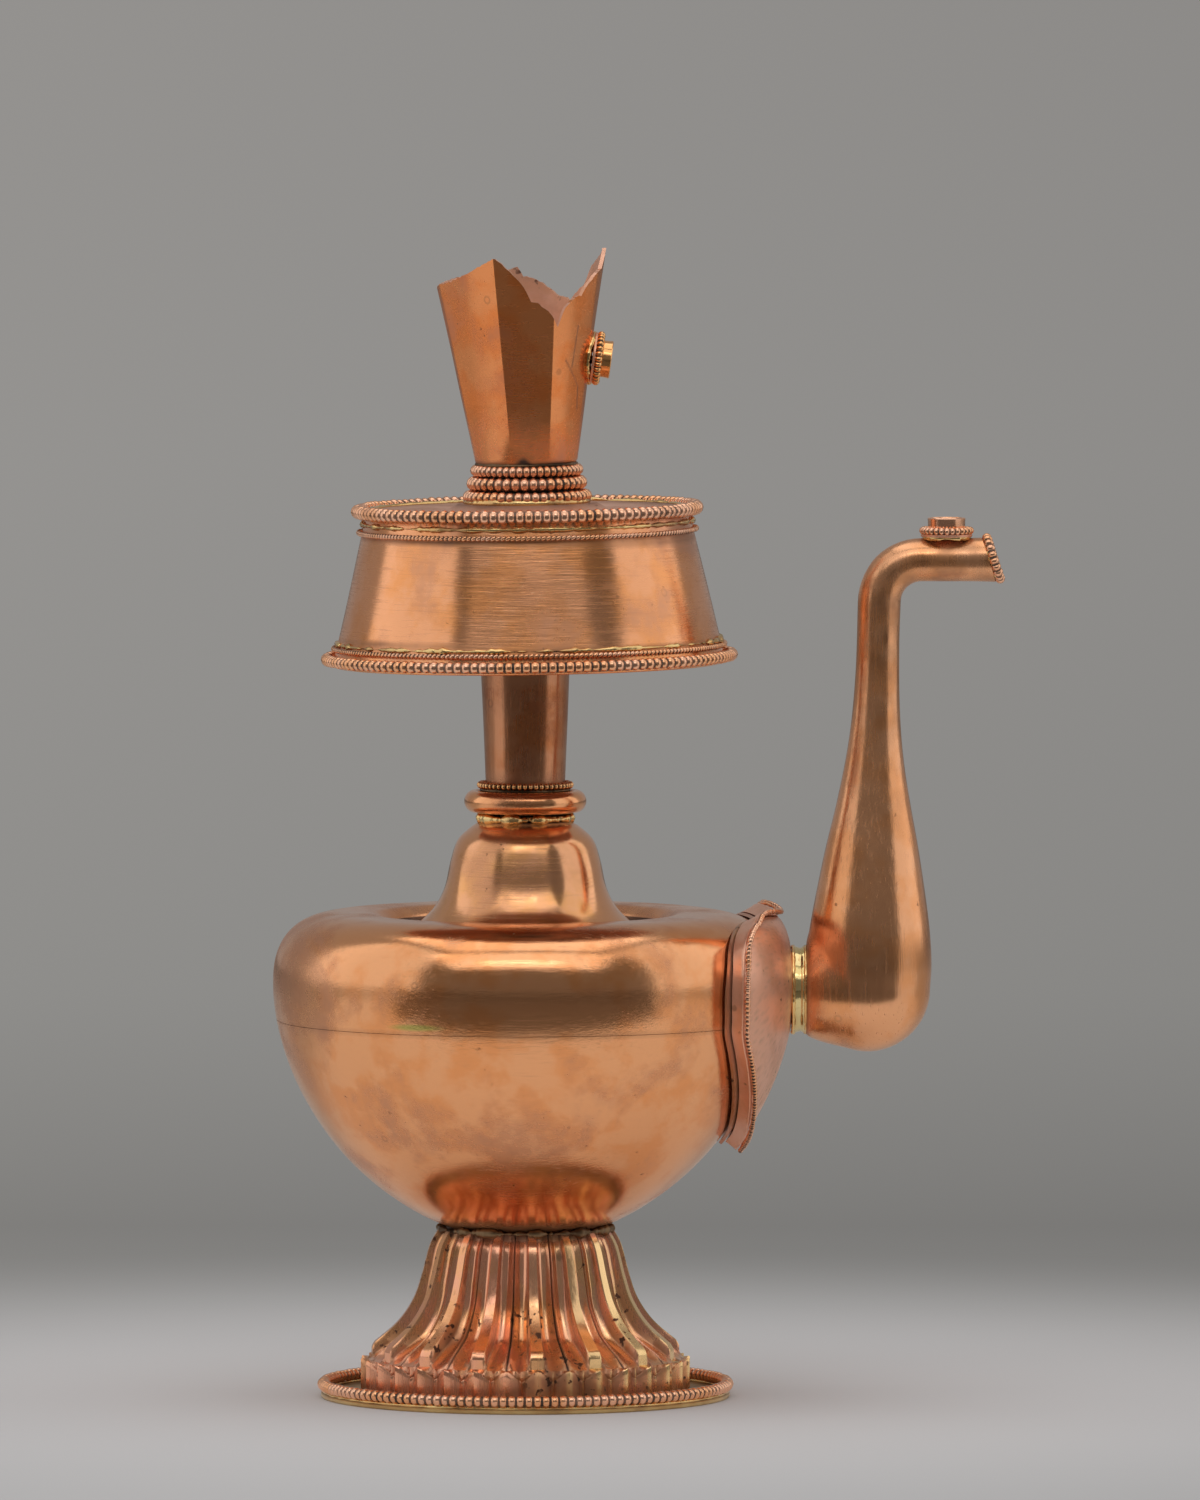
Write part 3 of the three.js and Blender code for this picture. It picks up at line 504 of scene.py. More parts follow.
def wire(path, finish, count, thickness, fill=1.15, core=0.6, slant=0.0, uneven=0.06, seed=1):
    curve = bpy.data.curves.new("path", "CURVE")
    curve.dimensions = "3D"
    spline = curve.splines.new("POLY")
    spline.points.add(len(path) - 1)
    for point, place in zip(spline.points, path):
        point.co = (*(Vector(place) * mm), 1)
    spline.use_cyclic_u = True
    length = sum((Vector(a) - Vector(b)).length for a, b in zip(path, path[1:] + path[:1]))
    return grown(curve, wireTree, {
        "Count": count, "Bead Radius": thickness / 2 * mm, "Bead Length": length / count / 2 * fill * mm,
        "Core Radius": thickness / 2 * core * mm, "Slant": rad(slant), "Unevenness": uneven, "Seed": seed,
        "Material": materials[finish],
    })


def ringPath(radius, height, steps=240, move=None):
    path = [around(radius, turn, height) for turn in turns(steps)]
    return [move @ point for point in path] if move else path


def beadRing(node, radius, height, count, thickness, finish="wireCopper", slot="copper", steps=240, move=None,
             **more):
    path = ringPath(radius, height, steps, move)
    dress(wire(path, finish, count, thickness, **more), node)


def solder(name, path, finish, thickness, lumps=0.35, seed=0.0):
    rows, side = [], None
    for i, here in enumerate(path):
        ahead = (path[(i + 1) % len(path)] - path[i - 1]).normalized()
        side = (side - ahead * side.dot(ahead) if side else ahead.orthogonal()).normalized()
        over = ahead.cross(side)
        bump = noise.noise(here * 0.35 + Vector((seed, 0, 0))) + 0.6 * noise.noise(here * 1.7)
        girth = thickness / 2 * (1 + lumps * 2 * bump)
        rows.append([here + (side * math.cos(a) + over * math.sin(a)) * girth for a in turns(8)])
    settle(gridObject(rows, finish, loop=True, sharp=180), name)


# Base plate and foot

basePlate = {"radius": 38.9, "thickness": 0.95, "edge": 0.25}
baseWire = {"radius": 38.45, "thickness": 2.3, "beads": 150}
foot = {
    "ridges": 16, "phase": -85.4, "tierRadius": 31.4, "tierTop": 7.3, "fold": 1.9, "notch": 2.2,
    "tipRadius": 29.3, "tipTop": 10.2, "tipFace": 2.6, "neck": 16.6, "fluteInset": 1.2,
    "fall": [(1, 0), (0.62, 0.19), (0.38, 0.39), (0.25, 0.6), (0.13, 0.86), (0, 1)],
    "depths": [2.1, 3.2, 2.6, 1.9, 1.6, 1.4], "ridge": 0.24, "wall": 0.07, "groove": 0.30,
    "cleft": 0.075, "tuck": 3, "tuckFrom": 0.86, "stepsPerPitch": 48,
}
gap = 0.3


def makeBase():
    r, t, e = basePlate["radius"], basePlate["thickness"], basePlate["edge"]
    profile = [(0, 0), (r - e, 0), (r, e), (r, t - e), (r - e, t), (0, t)]
    plate = turned(profile, "solderBrass", 200, loop=False)
    # painted shade: the top face, under the bead ring and foot, is darker; the rest has a little grime
    dress(plate, "base_plate", dirt=lambda p: 0.66 if p.z > 0.8 else 0.3)
    w = baseWire
    beadRing("base_bead_ring", w["radius"], t + gap + w["thickness"] / 2, w["beads"], w["thickness"],
             fill=1.02, core=0.8, uneven=0.05, seed=3)
    solder("baseSolder", ringPath(w["radius"] - 0.1, t + gap / 2), "solderBrass", 0.7, 0.4, seed=17)


def between(a, b, share):
    return tuple(p + (q - p) * share for p, q in zip(a, b))


def footRows(footTop):  # each row has a ridge place and a flute place, as radius and height
    f = foot
    low = basePlate["thickness"] + gap
    rows = []
    for k in range(7):
        place = (f["tierRadius"], low + (f["tierTop"] - low) * k / 6)
        rows.append({"ridge": place, "flute": place, "fold": 1.0, "notch": (k / 6) ** 1.4})
    for k, (inward, up) in enumerate(((0.1, 0.16), (0.32, 0.2), (0.8, 0.12))):
        place = (f["tierRadius"] - inward, f["tierTop"] + up)
        rows.append({"ridge": place, "flute": place, "fold": 1.0 - 0.3 * k, "notch": 1.0 - 0.32 * k})
    wide, tall = f["tipRadius"] - f["neck"], footTop - f["tipTop"]
    crest = catmullRom([(f["neck"] + wide * out, f["tipTop"] + tall * up) for out, up in f["fall"]], 8)
    upper = []
    for i, (r, z) in enumerate(crest):
        ahead, behind = crest[min(i + 1, len(crest) - 1)], crest[max(i - 1, 0)]
        climb = Vector((ahead[0] - behind[0], ahead[1] - behind[1])).normalized()
        along = i / (len(crest) - 1)
        span = min(int(along * 5), 4)
        depth = f["depths"][span] + (f["depths"][span + 1] - f["depths"][span]) * (along * 5 - span)
        flute = (r - climb.y * depth, footTop if along == 1 else z + climb.x * depth)
        upper.append({"ridge": (r, z), "flute": flute, "along": along})
    start = (f["tierRadius"] - f["fluteInset"], f["tierTop"] + 0.1)
    for k in range(6):
        share = k / 6
        face = (f["tipRadius"], f["tipTop"] - f["tipFace"] * (1 - share) - (0.0 if k < 5 else 0.12))
        rows.append({"ridge": face, "flute": between(start, upper[0]["flute"], share ** 1.3), "along": 0.0})
    upper[0]["ridge"] = (f["tipRadius"] - 0.3, f["tipTop"] + 0.05)
    return rows + upper


def fluteShape(across):  # none on a ridge; two hollows with a thin groove between them, and the painted shade in them
    if across <= foot["ridge"]:
        return 0.0, 0.0
    share = (across - foot["ridge"]) / (1 - foot["ridge"])
    wall = min(share / foot["wall"], 1.0)
    hollow = 0.60 + 0.40 * math.sin(math.pi * min(share * 1.12, 1.0))
    cleft = max(0.0, 1 - (1 - share) / foot["cleft"])
    # painted shade in the groove and at the foot of the hollow walls
    dirt = 0.08 * wall + 0.95 * cleft + 0.40 * max(0.0, 1 - abs(share - foot["wall"]) / 0.10)
    return wall ** 0.8 * hollow + foot["groove"] * cleft, dirt


def footPoint(row, turn, share):  # share 0 on a ridge, 0.5 on the groove
    folded = 1 - abs(1 - 4 * abs(share))
    if "along" in row:
        depth, dirt = fluteShape(min(abs(share) * 2, 1.0))
    else:
        # painted shade beside the folds of the tier petals
        depth, dirt = 0.0, 2.0 * folded * folded * (1 - folded)
    radius, height = between(row["ridge"], row["flute"], depth)
    tucked = foot["tuck"] * max(0.0, folded - foot["tuckFrom"])
    radius -= foot["fold"] * row.get("fold", 0) * (folded - tucked)
    height -= foot["notch"] * row.get("notch", 0) * folded
    if row.get("along", 0) == 1:
        height = row["ridge"][1]
    # painted shade at the top of the ridges, where the foot meets the body
    dirt = dirt * (1 - 0.3 * row.get("along", 0)) + max(0.0, row.get("along", 0) - 0.93) * 9
    return around(radius, turn, height), min(dirt, 1.0)


def makePitchTree():  # copies one pitch all the way round
    maker, given = newTree("repeatRound", [("Count", "Int", 16)])
    line = maker.node("MeshLine", None, {"Count": given["Count"], "Offset": (0, 0, 0)})
    count = Val(maker, given["Count"])
    index = Val(maker, maker.node("InputIndex").outputs[0])
    spin = maker.node("CombineXYZ", None, {2: index * count.sum("DIVIDE", twoPi, count)})
    copies = maker.node("InstanceOnPoints", None, {
        "Points": line, "Instance": given["Geometry"], "Rotation": spin,
    })
    return closeTree(maker, given, copies, "MergeByDistance", {"Distance": 0.005 * mm})


def makeFoot():
    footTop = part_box("lotus_foot")[1][2] / mm
    rows = footRows(footTop)
    count, steps = foot["ridges"], foot["stepsPerPitch"]
    points, faces, grid, dirt = [], [], [], []
    for row in rows:
        line = []
        for k in range(steps + 1):
            share = k / steps - 0.5
            turn = rad(foot["phase"]) + twoPi / count * share
            line.append(len(points))
            point, footShade = footPoint(row, turn, share)
            points.append(point)
            dirt.append(footShade)
        grid.append(line)
    below = len(points)
    points += [Vector((0, 0, points[0].z)), Vector((0, 0, footTop))]
    dirt += [0.0, 0.0]
    for k in range(steps):
        for r in range(len(rows) - 1):
            faces.append((grid[r][k], grid[r][k + 1], grid[r + 1][k + 1], grid[r + 1][k]))
        faces.append((below, grid[0][k + 1], grid[0][k]))
        faces.append((below + 1, grid[-1][k], grid[-1][k + 1]))
    pitch = bpy.data.meshes.new("petalPitch")
    pitch.from_pydata([p * mm for p in points], [], faces)
    storeGrimeAndShade(pitch, dirt)
    piece = grown(pitch, makePitchTree(), {"Count": count, "Material": materials["agedCopper"]})
    piece.data.shade_smooth()
    piece.data.set_sharp_from_angle(angle=rad(32))
    dress(piece, "lotus_foot")


# Body: the outline is a superellipse below and above the widest line

body = {
    "radius": 48.0, "equator": 78.6, "bowlRise": 49.2, "bowlFullness": 1.85, "seat": 14.5,
    "shoulderReach": 13.7, "shoulderRise": 13.7, "shoulderFullness": 2.5, "seam": 72.0,
    "recessOuter": 26.4, "recessLip": 28.4, "recessDepth": 3.0, "hole": 17.5, "sheet": 0.9,
}


def superArc(reach, rise, fullness, middle, start, end, steps):
    result = []
    for k in range(steps + 1):
        a = start + (end - start) * k / steps
        across = max(math.cos(a), 0) ** (2 / fullness)
        up = math.copysign(abs(math.sin(a)) ** (2 / fullness), a)
        result.append((middle + reach * across, body["equator"] + rise * up))
    return result


def bowlAngle(height):
    return -math.asin(((body["equator"] - height) / body["bowlRise"]) ** (body["bowlFullness"] / 2))


def bowlArc(start, end, steps):
    return superArc(body["radius"], body["bowlRise"], body["bowlFullness"], 0, start, end, steps)


def shoulderArc(steps):
    reach = body["shoulderReach"]
    middle = body["radius"] - reach
    arc = superArc(reach, body["shoulderRise"], body["shoulderFullness"], middle, 0, math.pi / 2, steps)
    return arc[1:]


seatAngle = -math.acos((body["seat"] / body["radius"]) ** (body["bowlFullness"] / 2))


def makeBody():
    b = body
    low = bowlArc(seatAngle, bowlAngle(b["seam"] - 0.04), 56)
    outline = [(0, low[0][1])] + low
    inner = inset(outline, b["sheet"])[::-1]
    inner[-1] = (0, inner[-1][1])
    bowl = turned(outline + inner, "polishedCopper", 256, loop=False, wobble=0.16)
    dress(bowl, "body_bowl", dirt=bodyShadeAndSeam)

    top = b["equator"] + b["shoulderRise"]
    lip, outer, floor = b["recessLip"], b["recessOuter"], top - b["recessDepth"]
    dip = catmullRom([(lip + 2, top), (lip + 0.4, top - 0.25), (outer + 0.9, top - 1.4),
                      (outer + 0.1, top - 2.5), (outer - 0.9, floor)], 5)
    outline = bowlArc(bowlAngle(b["seam"] + 0.04), 0, 8) + shoulderArc(44) + dip + [(b["hole"], floor)]
    inner = inset(outline, b["sheet"])[::-1]
    shoulder = turned(outline + inner, "polishedCopper", 256, wobble=0.16)
    dress(shoulder, "body_shoulder", dirt=bodyShadeAndSeam)
    # a dark ring in the corner of the recess, as painted shade
    solder("recessShadeRing", ringPath(25.2, floor + 0.15, 160), "dirtySolder", 0.5, seed=4)


def bodyShadeAndSeam(p):
    # painted shade on the recess floor round the dome and on the bowl's underside by the foot; a dark line at
    # the real seam
    recess = 0.75 if 18 < fromAxis(p) < 27 and 88.5 < p.z < 90.3 else 0.0
    low = max(0.0, (35 - p.z) * 0.25)
    seam = 0.16 if abs(p.z - body["seam"]) < 0.16 else 0.0
    return max(recess, low, seam)


# Neck

neck = {
    "domeRim": 20.5, "domeTop": 109.7, "seat": 89.6, "foot": 7.22, "taper": 0.0415, "top": 168.7,
    "bell": [(17.4, 93.2), (15.4, 97), (14.2, 102.3), (12.9, 106.1), (10.6, 108.4), (8.6, 109.7)],
    "torusRadius": 11.6, "torusHeight": 4.2, "beads": 52, "beadThickness": 1.4, "lowWire": 1.1,
    "lowBeads": 44,
}


def neckRadius(height):
    return neck["foot"] + (height - neck["domeTop"]) * neck["taper"]


def makeNeck():
    n = neck
    bell = catmullRom([(n["domeRim"], n["seat"] + 0.5)] + n["bell"], 9)
    outline = [(n["domeRim"] - 0.2, n["seat"])] + bell + [(n["foot"] - 0.9, n["domeTop"])]
    dome = turned(outline + inset(outline, body["sheet"])[::-1], "wornCopper", 160, wobble=0.14)
    dress(dome, "neck_dome", dirt=lambda p: max(0.0, (91.0 - p.z) * 0.4) + max(0.0, (p.z - 109.0) * 0.8))

    low = n["domeTop"] + gap
    wall = [(neckRadius(low + (n["top"] - low) * k / 24), low + (n["top"] - low) * k / 24) for k in range(25)]
    tube = turned(sheetSection(wall, body["sheet"]), "drawnCopper", 112, wobble=0.1)
    # painted shade: darker next to the bead ring below and up under the canopy
    dress(tube, "neck_tube", dirt=lambda p: max(0.0, (118.5 - p.z) * 0.22) + max(0.0, (p.z - 139) * 0.05))

    thick = n["lowWire"]
    beadRing("neck_lower_bead_ring", neckRadius(low) + 0.3 + thick / 2, low + thick / 2, n["lowBeads"], thick,
             "solderBrass", "brass", seed=5)

    torusFoot = low + n["lowWire"] + gap
    inner = neckRadius(torusFoot + n["torusHeight"]) + gap
    middle, half = (n["torusRadius"] + inner) / 2, (n["torusRadius"] - inner) / 2
    section = [(middle + half * math.cos(a), torusFoot + n["torusHeight"] / 2 * (1 + math.sin(a)))
               for a in turns(32)]
    torus = turned(section, "polishedCopper", 128)
    dress(torus, "neck_torus", dirt=lambda p: near(fromAxis(p), inner, 0.9, 0.5))

    thick = n["beadThickness"]
    height = torusFoot + n["torusHeight"] + gap + thick / 2
    beadRing("neck_bead_ring", neckRadius(height) + 0.3 + thick / 2, height, n["beads"], thick,
             "goldenCopper", fill=0.8, core=0.4, seed=6)
    solder("neckSolderLow", ringPath(8.3, 110.3, 160), "solderBrass", 1.7, 0.6, seed=1)
    solder("neckSolderHigh", ringPath(8.2, 115.7, 160), "dirtySolder", 0.9, seed=2)


# Canopy

def lineInside(piece, place):  # faces that look towards the axis get the duller copper
    start = place @ Vector((0, 0, 0))
    axis = place @ Vector((0, 0, 1)) - start
    piece.data.materials.append(materials["firedCopper"])
    for face in piece.data.polygons:
        away = face.center / mm - start
        face.material_index = int(face.normal.dot(away - axis * away.dot(axis)) < 0)


canopy = {
    "dish": 1.0, "shift": 0.8, "lean": 0.8, "foot": 140.0, "top": 169.0, "footRadius": 37.25,
    "topRadius": 30.55,
    "lowWire": 2.32, "lowBeads": 147, "highWire": 2.66, "highBeads": 121, "trim": 0.84,
    "trimLow": 143.0, "trimHigh": 165.0, "trimPitch": 0.95,
}
canopyPlace = leaning(canopy["lean"], canopy["foot"], canopy["shift"])
canopyTop = canopy["top"] + gap + body["sheet"]


def skirtRadius(height):
    share = (height - canopy["foot"]) / (canopy["top"] - canopy["foot"])
    return canopy["footRadius"] + (canopy["topRadius"] - canopy["footRadius"]) * share


def makeCanopy():
    c = canopy
    heights = [c["foot"] + (c["top"] - c["foot"]) * k / 30 for k in range(31)]
    wall = [(skirtRadius(h), h) for h in heights]
    skirt = turned(sheetSection(wall, body["sheet"]), "brushedCopper", 220, move=canopyPlace, wobble=0.22)
    lineInside(skirt, canopyPlace)
    dress(skirt, "canopy_skirt", dirt=lambda p: near(p.z, 144.2, 0.5, 0.6) + near(p.z, 164.0, 0.6, 0.7))

    bore = neckRadius(c["top"]) - body["sheet"]
    low, high, edge = c["top"] + gap, canopyTop, c["topRadius"] - body["sheet"] - 0.15
    sunk = low - c["dish"]
    profile = [(bore, low), (12.9, low), (14.6, sunk), (edge, sunk), (edge, high - c["dish"])]
    profile += [(15.0, high - c["dish"]), (13.2, high), (bore, high)]
    plate = turned(profile, "firedCopper", 180, move=canopyPlace)
    dress(plate, "canopy_top_plate",
          dirt=lambda p: near(fromAxis(p), 12.5, 0.8, 0.3) + near(fromAxis(p), 30, 0.8, 0.4))

    rings = [  # node, height, thickness, beads, slant, fill
        ("canopy_top_bead_ring", c["top"], c["highWire"], c["highBeads"], 0, 1.06),
        ("canopy_bottom_bead_ring", c["foot"] + c["lowWire"] / 2 - 0.2, c["lowWire"], c["lowBeads"], 0, 1.06),
        ("canopy_top_wire", c["trimHigh"], c["trim"], None, 30, 1.3),
        ("canopy_bottom_wire", c["trimLow"], c["trim"], None, 30, 1.3),
    ]
    for seed, (node, height, thickness, beads, slant, fill) in enumerate(rings):
        radius = skirtRadius(height) + 0.25 + thickness / 2
        count = beads or round(twoPi * radius / c["trimPitch"])
        beadRing(node, radius, height, count, thickness, move=canopyPlace, fill=fill, core=0.8, slant=slant,
                 seed=11 + seed)
    for name, radius, height, steps, thickness, lumps, seed in (
            ("canopySolderHigh", skirtRadius(166.6) + 0.15, 166.6, 260, 0.8, 0.7, 7),
            ("canopySolderLow", skirtRadius(143.9) + 0.1, 143.9, 260, 0.7, 1.0, 8),
            ("canopySolderTop", 29.6, canopyTop - c["dish"] + 0.1, 220, 0.8, 0.35, 9)):
        solder(name, ringPath(radius, height, steps, canopyPlace), "solderBrass", thickness, lumps, seed)


# Crown; the lip is drawn as corners, azimuth in degrees and height above the foot of the cup

crownWires = [  # node, thickness, radius, beads
    ("crown_ring_lower", 2.4, 11.1, 44),
    ("crown_ring_middle", 2.7, 10.15, 39),
    ("crown_ring_upper", 2.2, 9.7, 48),
]
crown = {
    "lean": 1.6, "stem": 8.8, "foot": 9.6, "flare": 0.176, "sheet": 0.75, "bezelHeight": 19.6,
    "lip": [
        (2, 40.1), (18, 38.2), (27, 36.7), (31, 34.6), (34, 33.2), (49, 30.0), (61, 31.1), (66, 32.2),
        (74, 33.7), (80, 34.5), (87, 35.0), (91, 36.8), (99, 36.2), (140, 35.4), (180, 33.9), (209, 35.4),
        (229, 36.9), (254.7, 39.6), (262, 37.5), (270, 35.2), (279, 31.0), (289, 29.7), (295, 28.2),
        (300.4, 25.9), (304.4, 28.4), (311, 30.3), (324, 31.6), (334.5, 34.3), (350, 36.4), (362, 40.1),
    ],
    "scallops": {(270, 279): 0.4, (279, 289): 0.4, (289, 295): 0.2, (304.4, 311): 0.3, (311, 324): 0.5,
                 (324, 334.5): 0.35, (334.5, 350): 0.5, (34, 49): 0.3, (49, 61): 0.3},
    "facets": [(-76, -16, 0.85), (-16, 26, 0.95), (26, 72, 0.5)],  # hammered flats, degrees from the front
    "smear": 268,
    "cracks": [((318, 18.5), (321, 26.4)), ((309, 19.9), (330, 14.8)), ((330, 14.8), (333, 10.5))],
}


def lipHeight(azimuth):
    lip = crown["lip"]
    azimuth = azimuth % 360
    if azimuth < lip[0][0]:
        azimuth += 360
    for (a, ha), (b, hb) in zip(lip, lip[1:]):
        if a <= azimuth <= b:
            share = (azimuth - a) / (b - a)
            return ha + (hb - ha) * share + crown["scallops"].get((a, b), 0) * math.sin(math.pi * share)
    return lip[0][1]


stackTop = canopyTop
wireHeights = []
for _, thick, _, _ in crownWires:
    wireHeights.append(stackTop + gap + thick * 0.43)
    stackTop += gap + thick * 0.87
cupFoot = stackTop + gap
crownPlace = canopyPlace @ leaning(crown["lean"], cupFoot)


def flatness(azimuth):  # share of the radius left where the cup is hammered flat
    front = (azimuth - 270 + 180) % 360 - 180
    for low, high, amount in crown["facets"]:
        if low < front < high:
            half = math.cos(rad((high - low) / 2))
            return 1 - amount * (1 - half / math.cos(rad(front - (low + high) / 2)))
    return 1.0


def crownDirt(p):  # soot at the foot, and a few hair cracks in the front of the cup
    azimuth = math.degrees(math.atan2(p.y, p.x)) % 360
    height = p.z - cupFoot
    smear = 0.9 * math.exp(-((azimuth - crown["smear"]) / 7) ** 2)
    dirt = max(0.0, 0.75 + smear - height * 0.8) + 0.08
    for (a, low), (b, high) in crown["cracks"]:
        share = clipped((height - low) / (high - low))
        off = math.hypot((azimuth - a - (b - a) * share) * 0.2, height - low - (high - low) * share)
        dirt = max(dirt, 0.8 - off * 2.2)
    return dirt


def makeCrown():
    for seed, ((node, thick, radius, beads), height) in enumerate(zip(crownWires, wireHeights)):
        beadRing(node, radius, height, beads, thick, move=canopyPlace, fill=1.08, core=0.8, uneven=0.05,
                 seed=21 + seed)
    steps, rowsUp = 360, 90
    stem = [(crown["stem"], canopyTop + gap), (crown["stem"], cupFoot - 0.5)]
    stem += [(crown["foot"] - 0.1, cupFoot + 0.1)]
    outside = [[] for _ in range(rowsUp + len(stem))]
    inside = [[] for _ in range(rowsUp + len(stem))]
    for k in range(steps):
        azimuth = 360 * k / steps
        lip = lipHeight(azimuth) + 0.22 * noise.noise(Vector((azimuth * 0.35, 3, 5)))
        line = stem + [(crown["foot"] + crown["flare"] * lip * r / rowsUp, cupFoot + lip * r / rowsUp)
                       for r in range(1, rowsUp + 1)]
        out = around(1, rad(azimuth))
        for r, (radius, height) in enumerate(line):
            share = max(0.0, height - cupFoot) / 40
            bend = share * 0.5 * noise.noise(out * 1.3 + Vector((0, 0, height * 0.05)))
            flat = 1 - (1 - flatness(azimuth)) * min(share * 3.5, 1.0)
            point = out * (radius * flat + bend) + Vector((0, 0, height))
            outside[r].append(point)
            inside[r].append(point - out * crown["sheet"])
    cup = gridObject(outside + inside[::-1], "beatenCopper", loop=True, sharp=50, move=crownPlace)
    lineInside(cup, crownPlace)
    dress(cup, "crown_cup", dirt=crownDirt)
    solder("crownSolder", ringPath(11.5, canopyTop + 0.35, 140, canopyPlace), "solderBrass", 1.3, seed=12)
    solder("crownSolderHigh", ringPath(9.5, cupFoot - 0.1, 140, canopyPlace), "dirtySolder", 0.6, seed=13)
    slope = math.atan(crown["flare"])
    radius = crown["foot"] + crown["flare"] * crown["bezelHeight"]
    seat = crownPlace @ placed(radius, cupFoot + crown["bezelHeight"], math.pi / 2 + slope)
    makeBezel("crown", "goldenCopper", seat, 31, 0.5 / radius)


# Gem setting: a plate, a bead wire and an empty cup

bezel = {
    "plate": 4.9, "plateThickness": 0.5, "wire": 1.5, "ring": 4.45, "beads": 28, "cup": 3.5, "wall": 0.6,
    "depth": 2.8,
}


def makeBezel(owner, finish, seat, seed, bend):  # bend: how fast the surface below falls away to the sides
    b = bezel
    top = gap + b["plateThickness"]
    r = b["plate"]
    profile = [(0, gap), (r - 0.1, gap), (r, gap + 0.1), (r, top - 0.1), (r - 0.1, top), (0, top)]
    plate = turned(profile, "firedCopper", 64, loop=False, move=seat)
    dress(plate, owner + "_bezel_plate")
    beadRing(owner + "_bezel_bead_ring", b["ring"], top - 0.1 + b["wire"] / 2, b["beads"], b["wire"], finish,
             steps=90, move=seat, fill=1.04, core=0.75, seed=seed)
    low = top + gap
    r, rim, inner = b["cup"], low + b["depth"], b["cup"] - b["wall"]
    profile = [(0, low), (r, low), (r + 0.05, rim - 0.6), (r + 0.12, rim - 0.15), (r - 0.05, rim),
               (inner + 0.1, rim), (inner, rim - 0.15), (inner, low + 0.6), (0, low + 0.6)]
    cup = turned(profile, finish, 72, loop=False, move=seat)
    dress(cup, owner + "_bezel_cup")
    path = [seat @ around(4.3, a, 0.15 - (4.3 * math.sin(a)) ** 2 * bend) for a in turns(90)]
    solder(owner + "BezelSolder", path, "solderBrass", 1.3 if bend else 0.8, seed=seed)


# Shield: an outline on the body, half widths from the top point down

shield = {
    "half": [(0, 14.4), (5, 14.7), (10, 15.0), (14, 15.0), (17, 14.6), (20, 13.8), (22.5, 12.9), (25, 11.6),
             (28.3, 9.0), (30.6, 5.2), (31.4, 1.2), (30.9, -3.2), (29.2, -7.8), (21.8, -16.4), (12.2, -24.4),
             (0, -30.8)],
    "levelFrom": 7, "levelOver": 6, "flat": 0.7, "grow": 0.27,  # at the top it stands out level, and taller
    "seat": 0.4, "sheet": 0.6, "flange": 0.9, "rimTop": 3.9, "rimWall": 0.8, "lift": 3.6, "dish": 0.3,
    "wire": 1.0, "steps": 240, "bore": 6.0, "axis": 77.6,
}


def makeMeridian():  # the side of the body, with lengths along it from the spout's axis
    line = bowlArc(seatAngle, 0, 240) + shoulderArc(160)
    lengths = [0.0]
    for one, other in zip(line, line[1:]):
        lengths.append(lengths[-1] + math.dist(one, other))
    axis = next(length for length, place in zip(lengths, line) if place[1] >= shield["axis"])
    return [length - axis for length in lengths], line


def evenly(points, count):
    spans = [math.dist(a, b) for a, b in zip(points, points[1:])]
    total = sum(spans)
    result, i, gone = [], 0, 0.0
    for k in range(count + 1):
        want = total * k / count
        while i < len(spans) - 1 and gone + spans[i] < want:
            gone += spans[i]
            i += 1
        t = min((want - gone) / (spans[i] or 1), 1.0)
        result.append(tuple(a + (b - a) * t for a, b in zip(points[i], points[i + 1])))
    return result


meridian = makeMeridian()


def shieldOutline():
    half = evenly(catmullRom(shield["half"], 16), shield["steps"] // 2)
    other = [(-x, z) for x, z in half[1:-1]][::-1]
    return half + other


def onBody(across, along, offset):  # across from the plane of the spout, along the side of the body
    lengths, line = meridian
    after = min(max(bisect.bisect(lengths, along), 2), len(line) - 2)
    share = (along - lengths[after - 1]) / (lengths[after] - lengths[after - 1])
    radius, height = between(line[after - 1], line[after], share)
    climb = Vector([b - a for a, b in zip(line[after - 2], line[after + 1])]).normalized()
    level = clipped((along - shield["levelFrom"]) / shield["levelOver"])
    climb.x *= 1 - shield["flat"] * level
    climb.normalize()
    offset *= 1 + shield["grow"] * level
    turn = math.asin(clipped(across / (radius + climb.y * shield["lift"]), -1.0))
    return around(radius + climb.y * offset, turn, height - climb.x * offset)


def shieldPoint(edge, share, insetBy, offset):
    ray = Vector(edge)
    if insetBy < 0:  # the flange dies away towards the top
        insetBy *= 1 - 0.85 * clipped(edge[1] / 12)
    place = ray.normalized() * ((ray.length - insetBy) * (1 - share) + shield["bore"] * share)
    return onBody(place.x, place.y, offset)


def shieldSkin(insetBy, under, over, rowsIn, finish, dish=0.0):
    edges = shieldOutline()
    rows = []
    for outer in (True, False):
        order = range(rowsIn + 1) if outer else range(rowsIn, -1, -1)
        for k in order:
            share = k / rowsIn
            level = (over if outer else under) - dish * share
            rows.append([shieldPoint(e, share, insetBy, level) for e in edges])
    return gridObject(rows, finish, loop=True, sharp=50)


def faceDirt(p):  # grime lies against the wire
    turn = math.asin(clipped(p.y / fromAxis(p), -1.0))
    return max(0.0, math.degrees(abs(turn)) - 34) * 0.25 + 0.4 * max(0.0, noise.noise(p * 1.4) - 0.1)


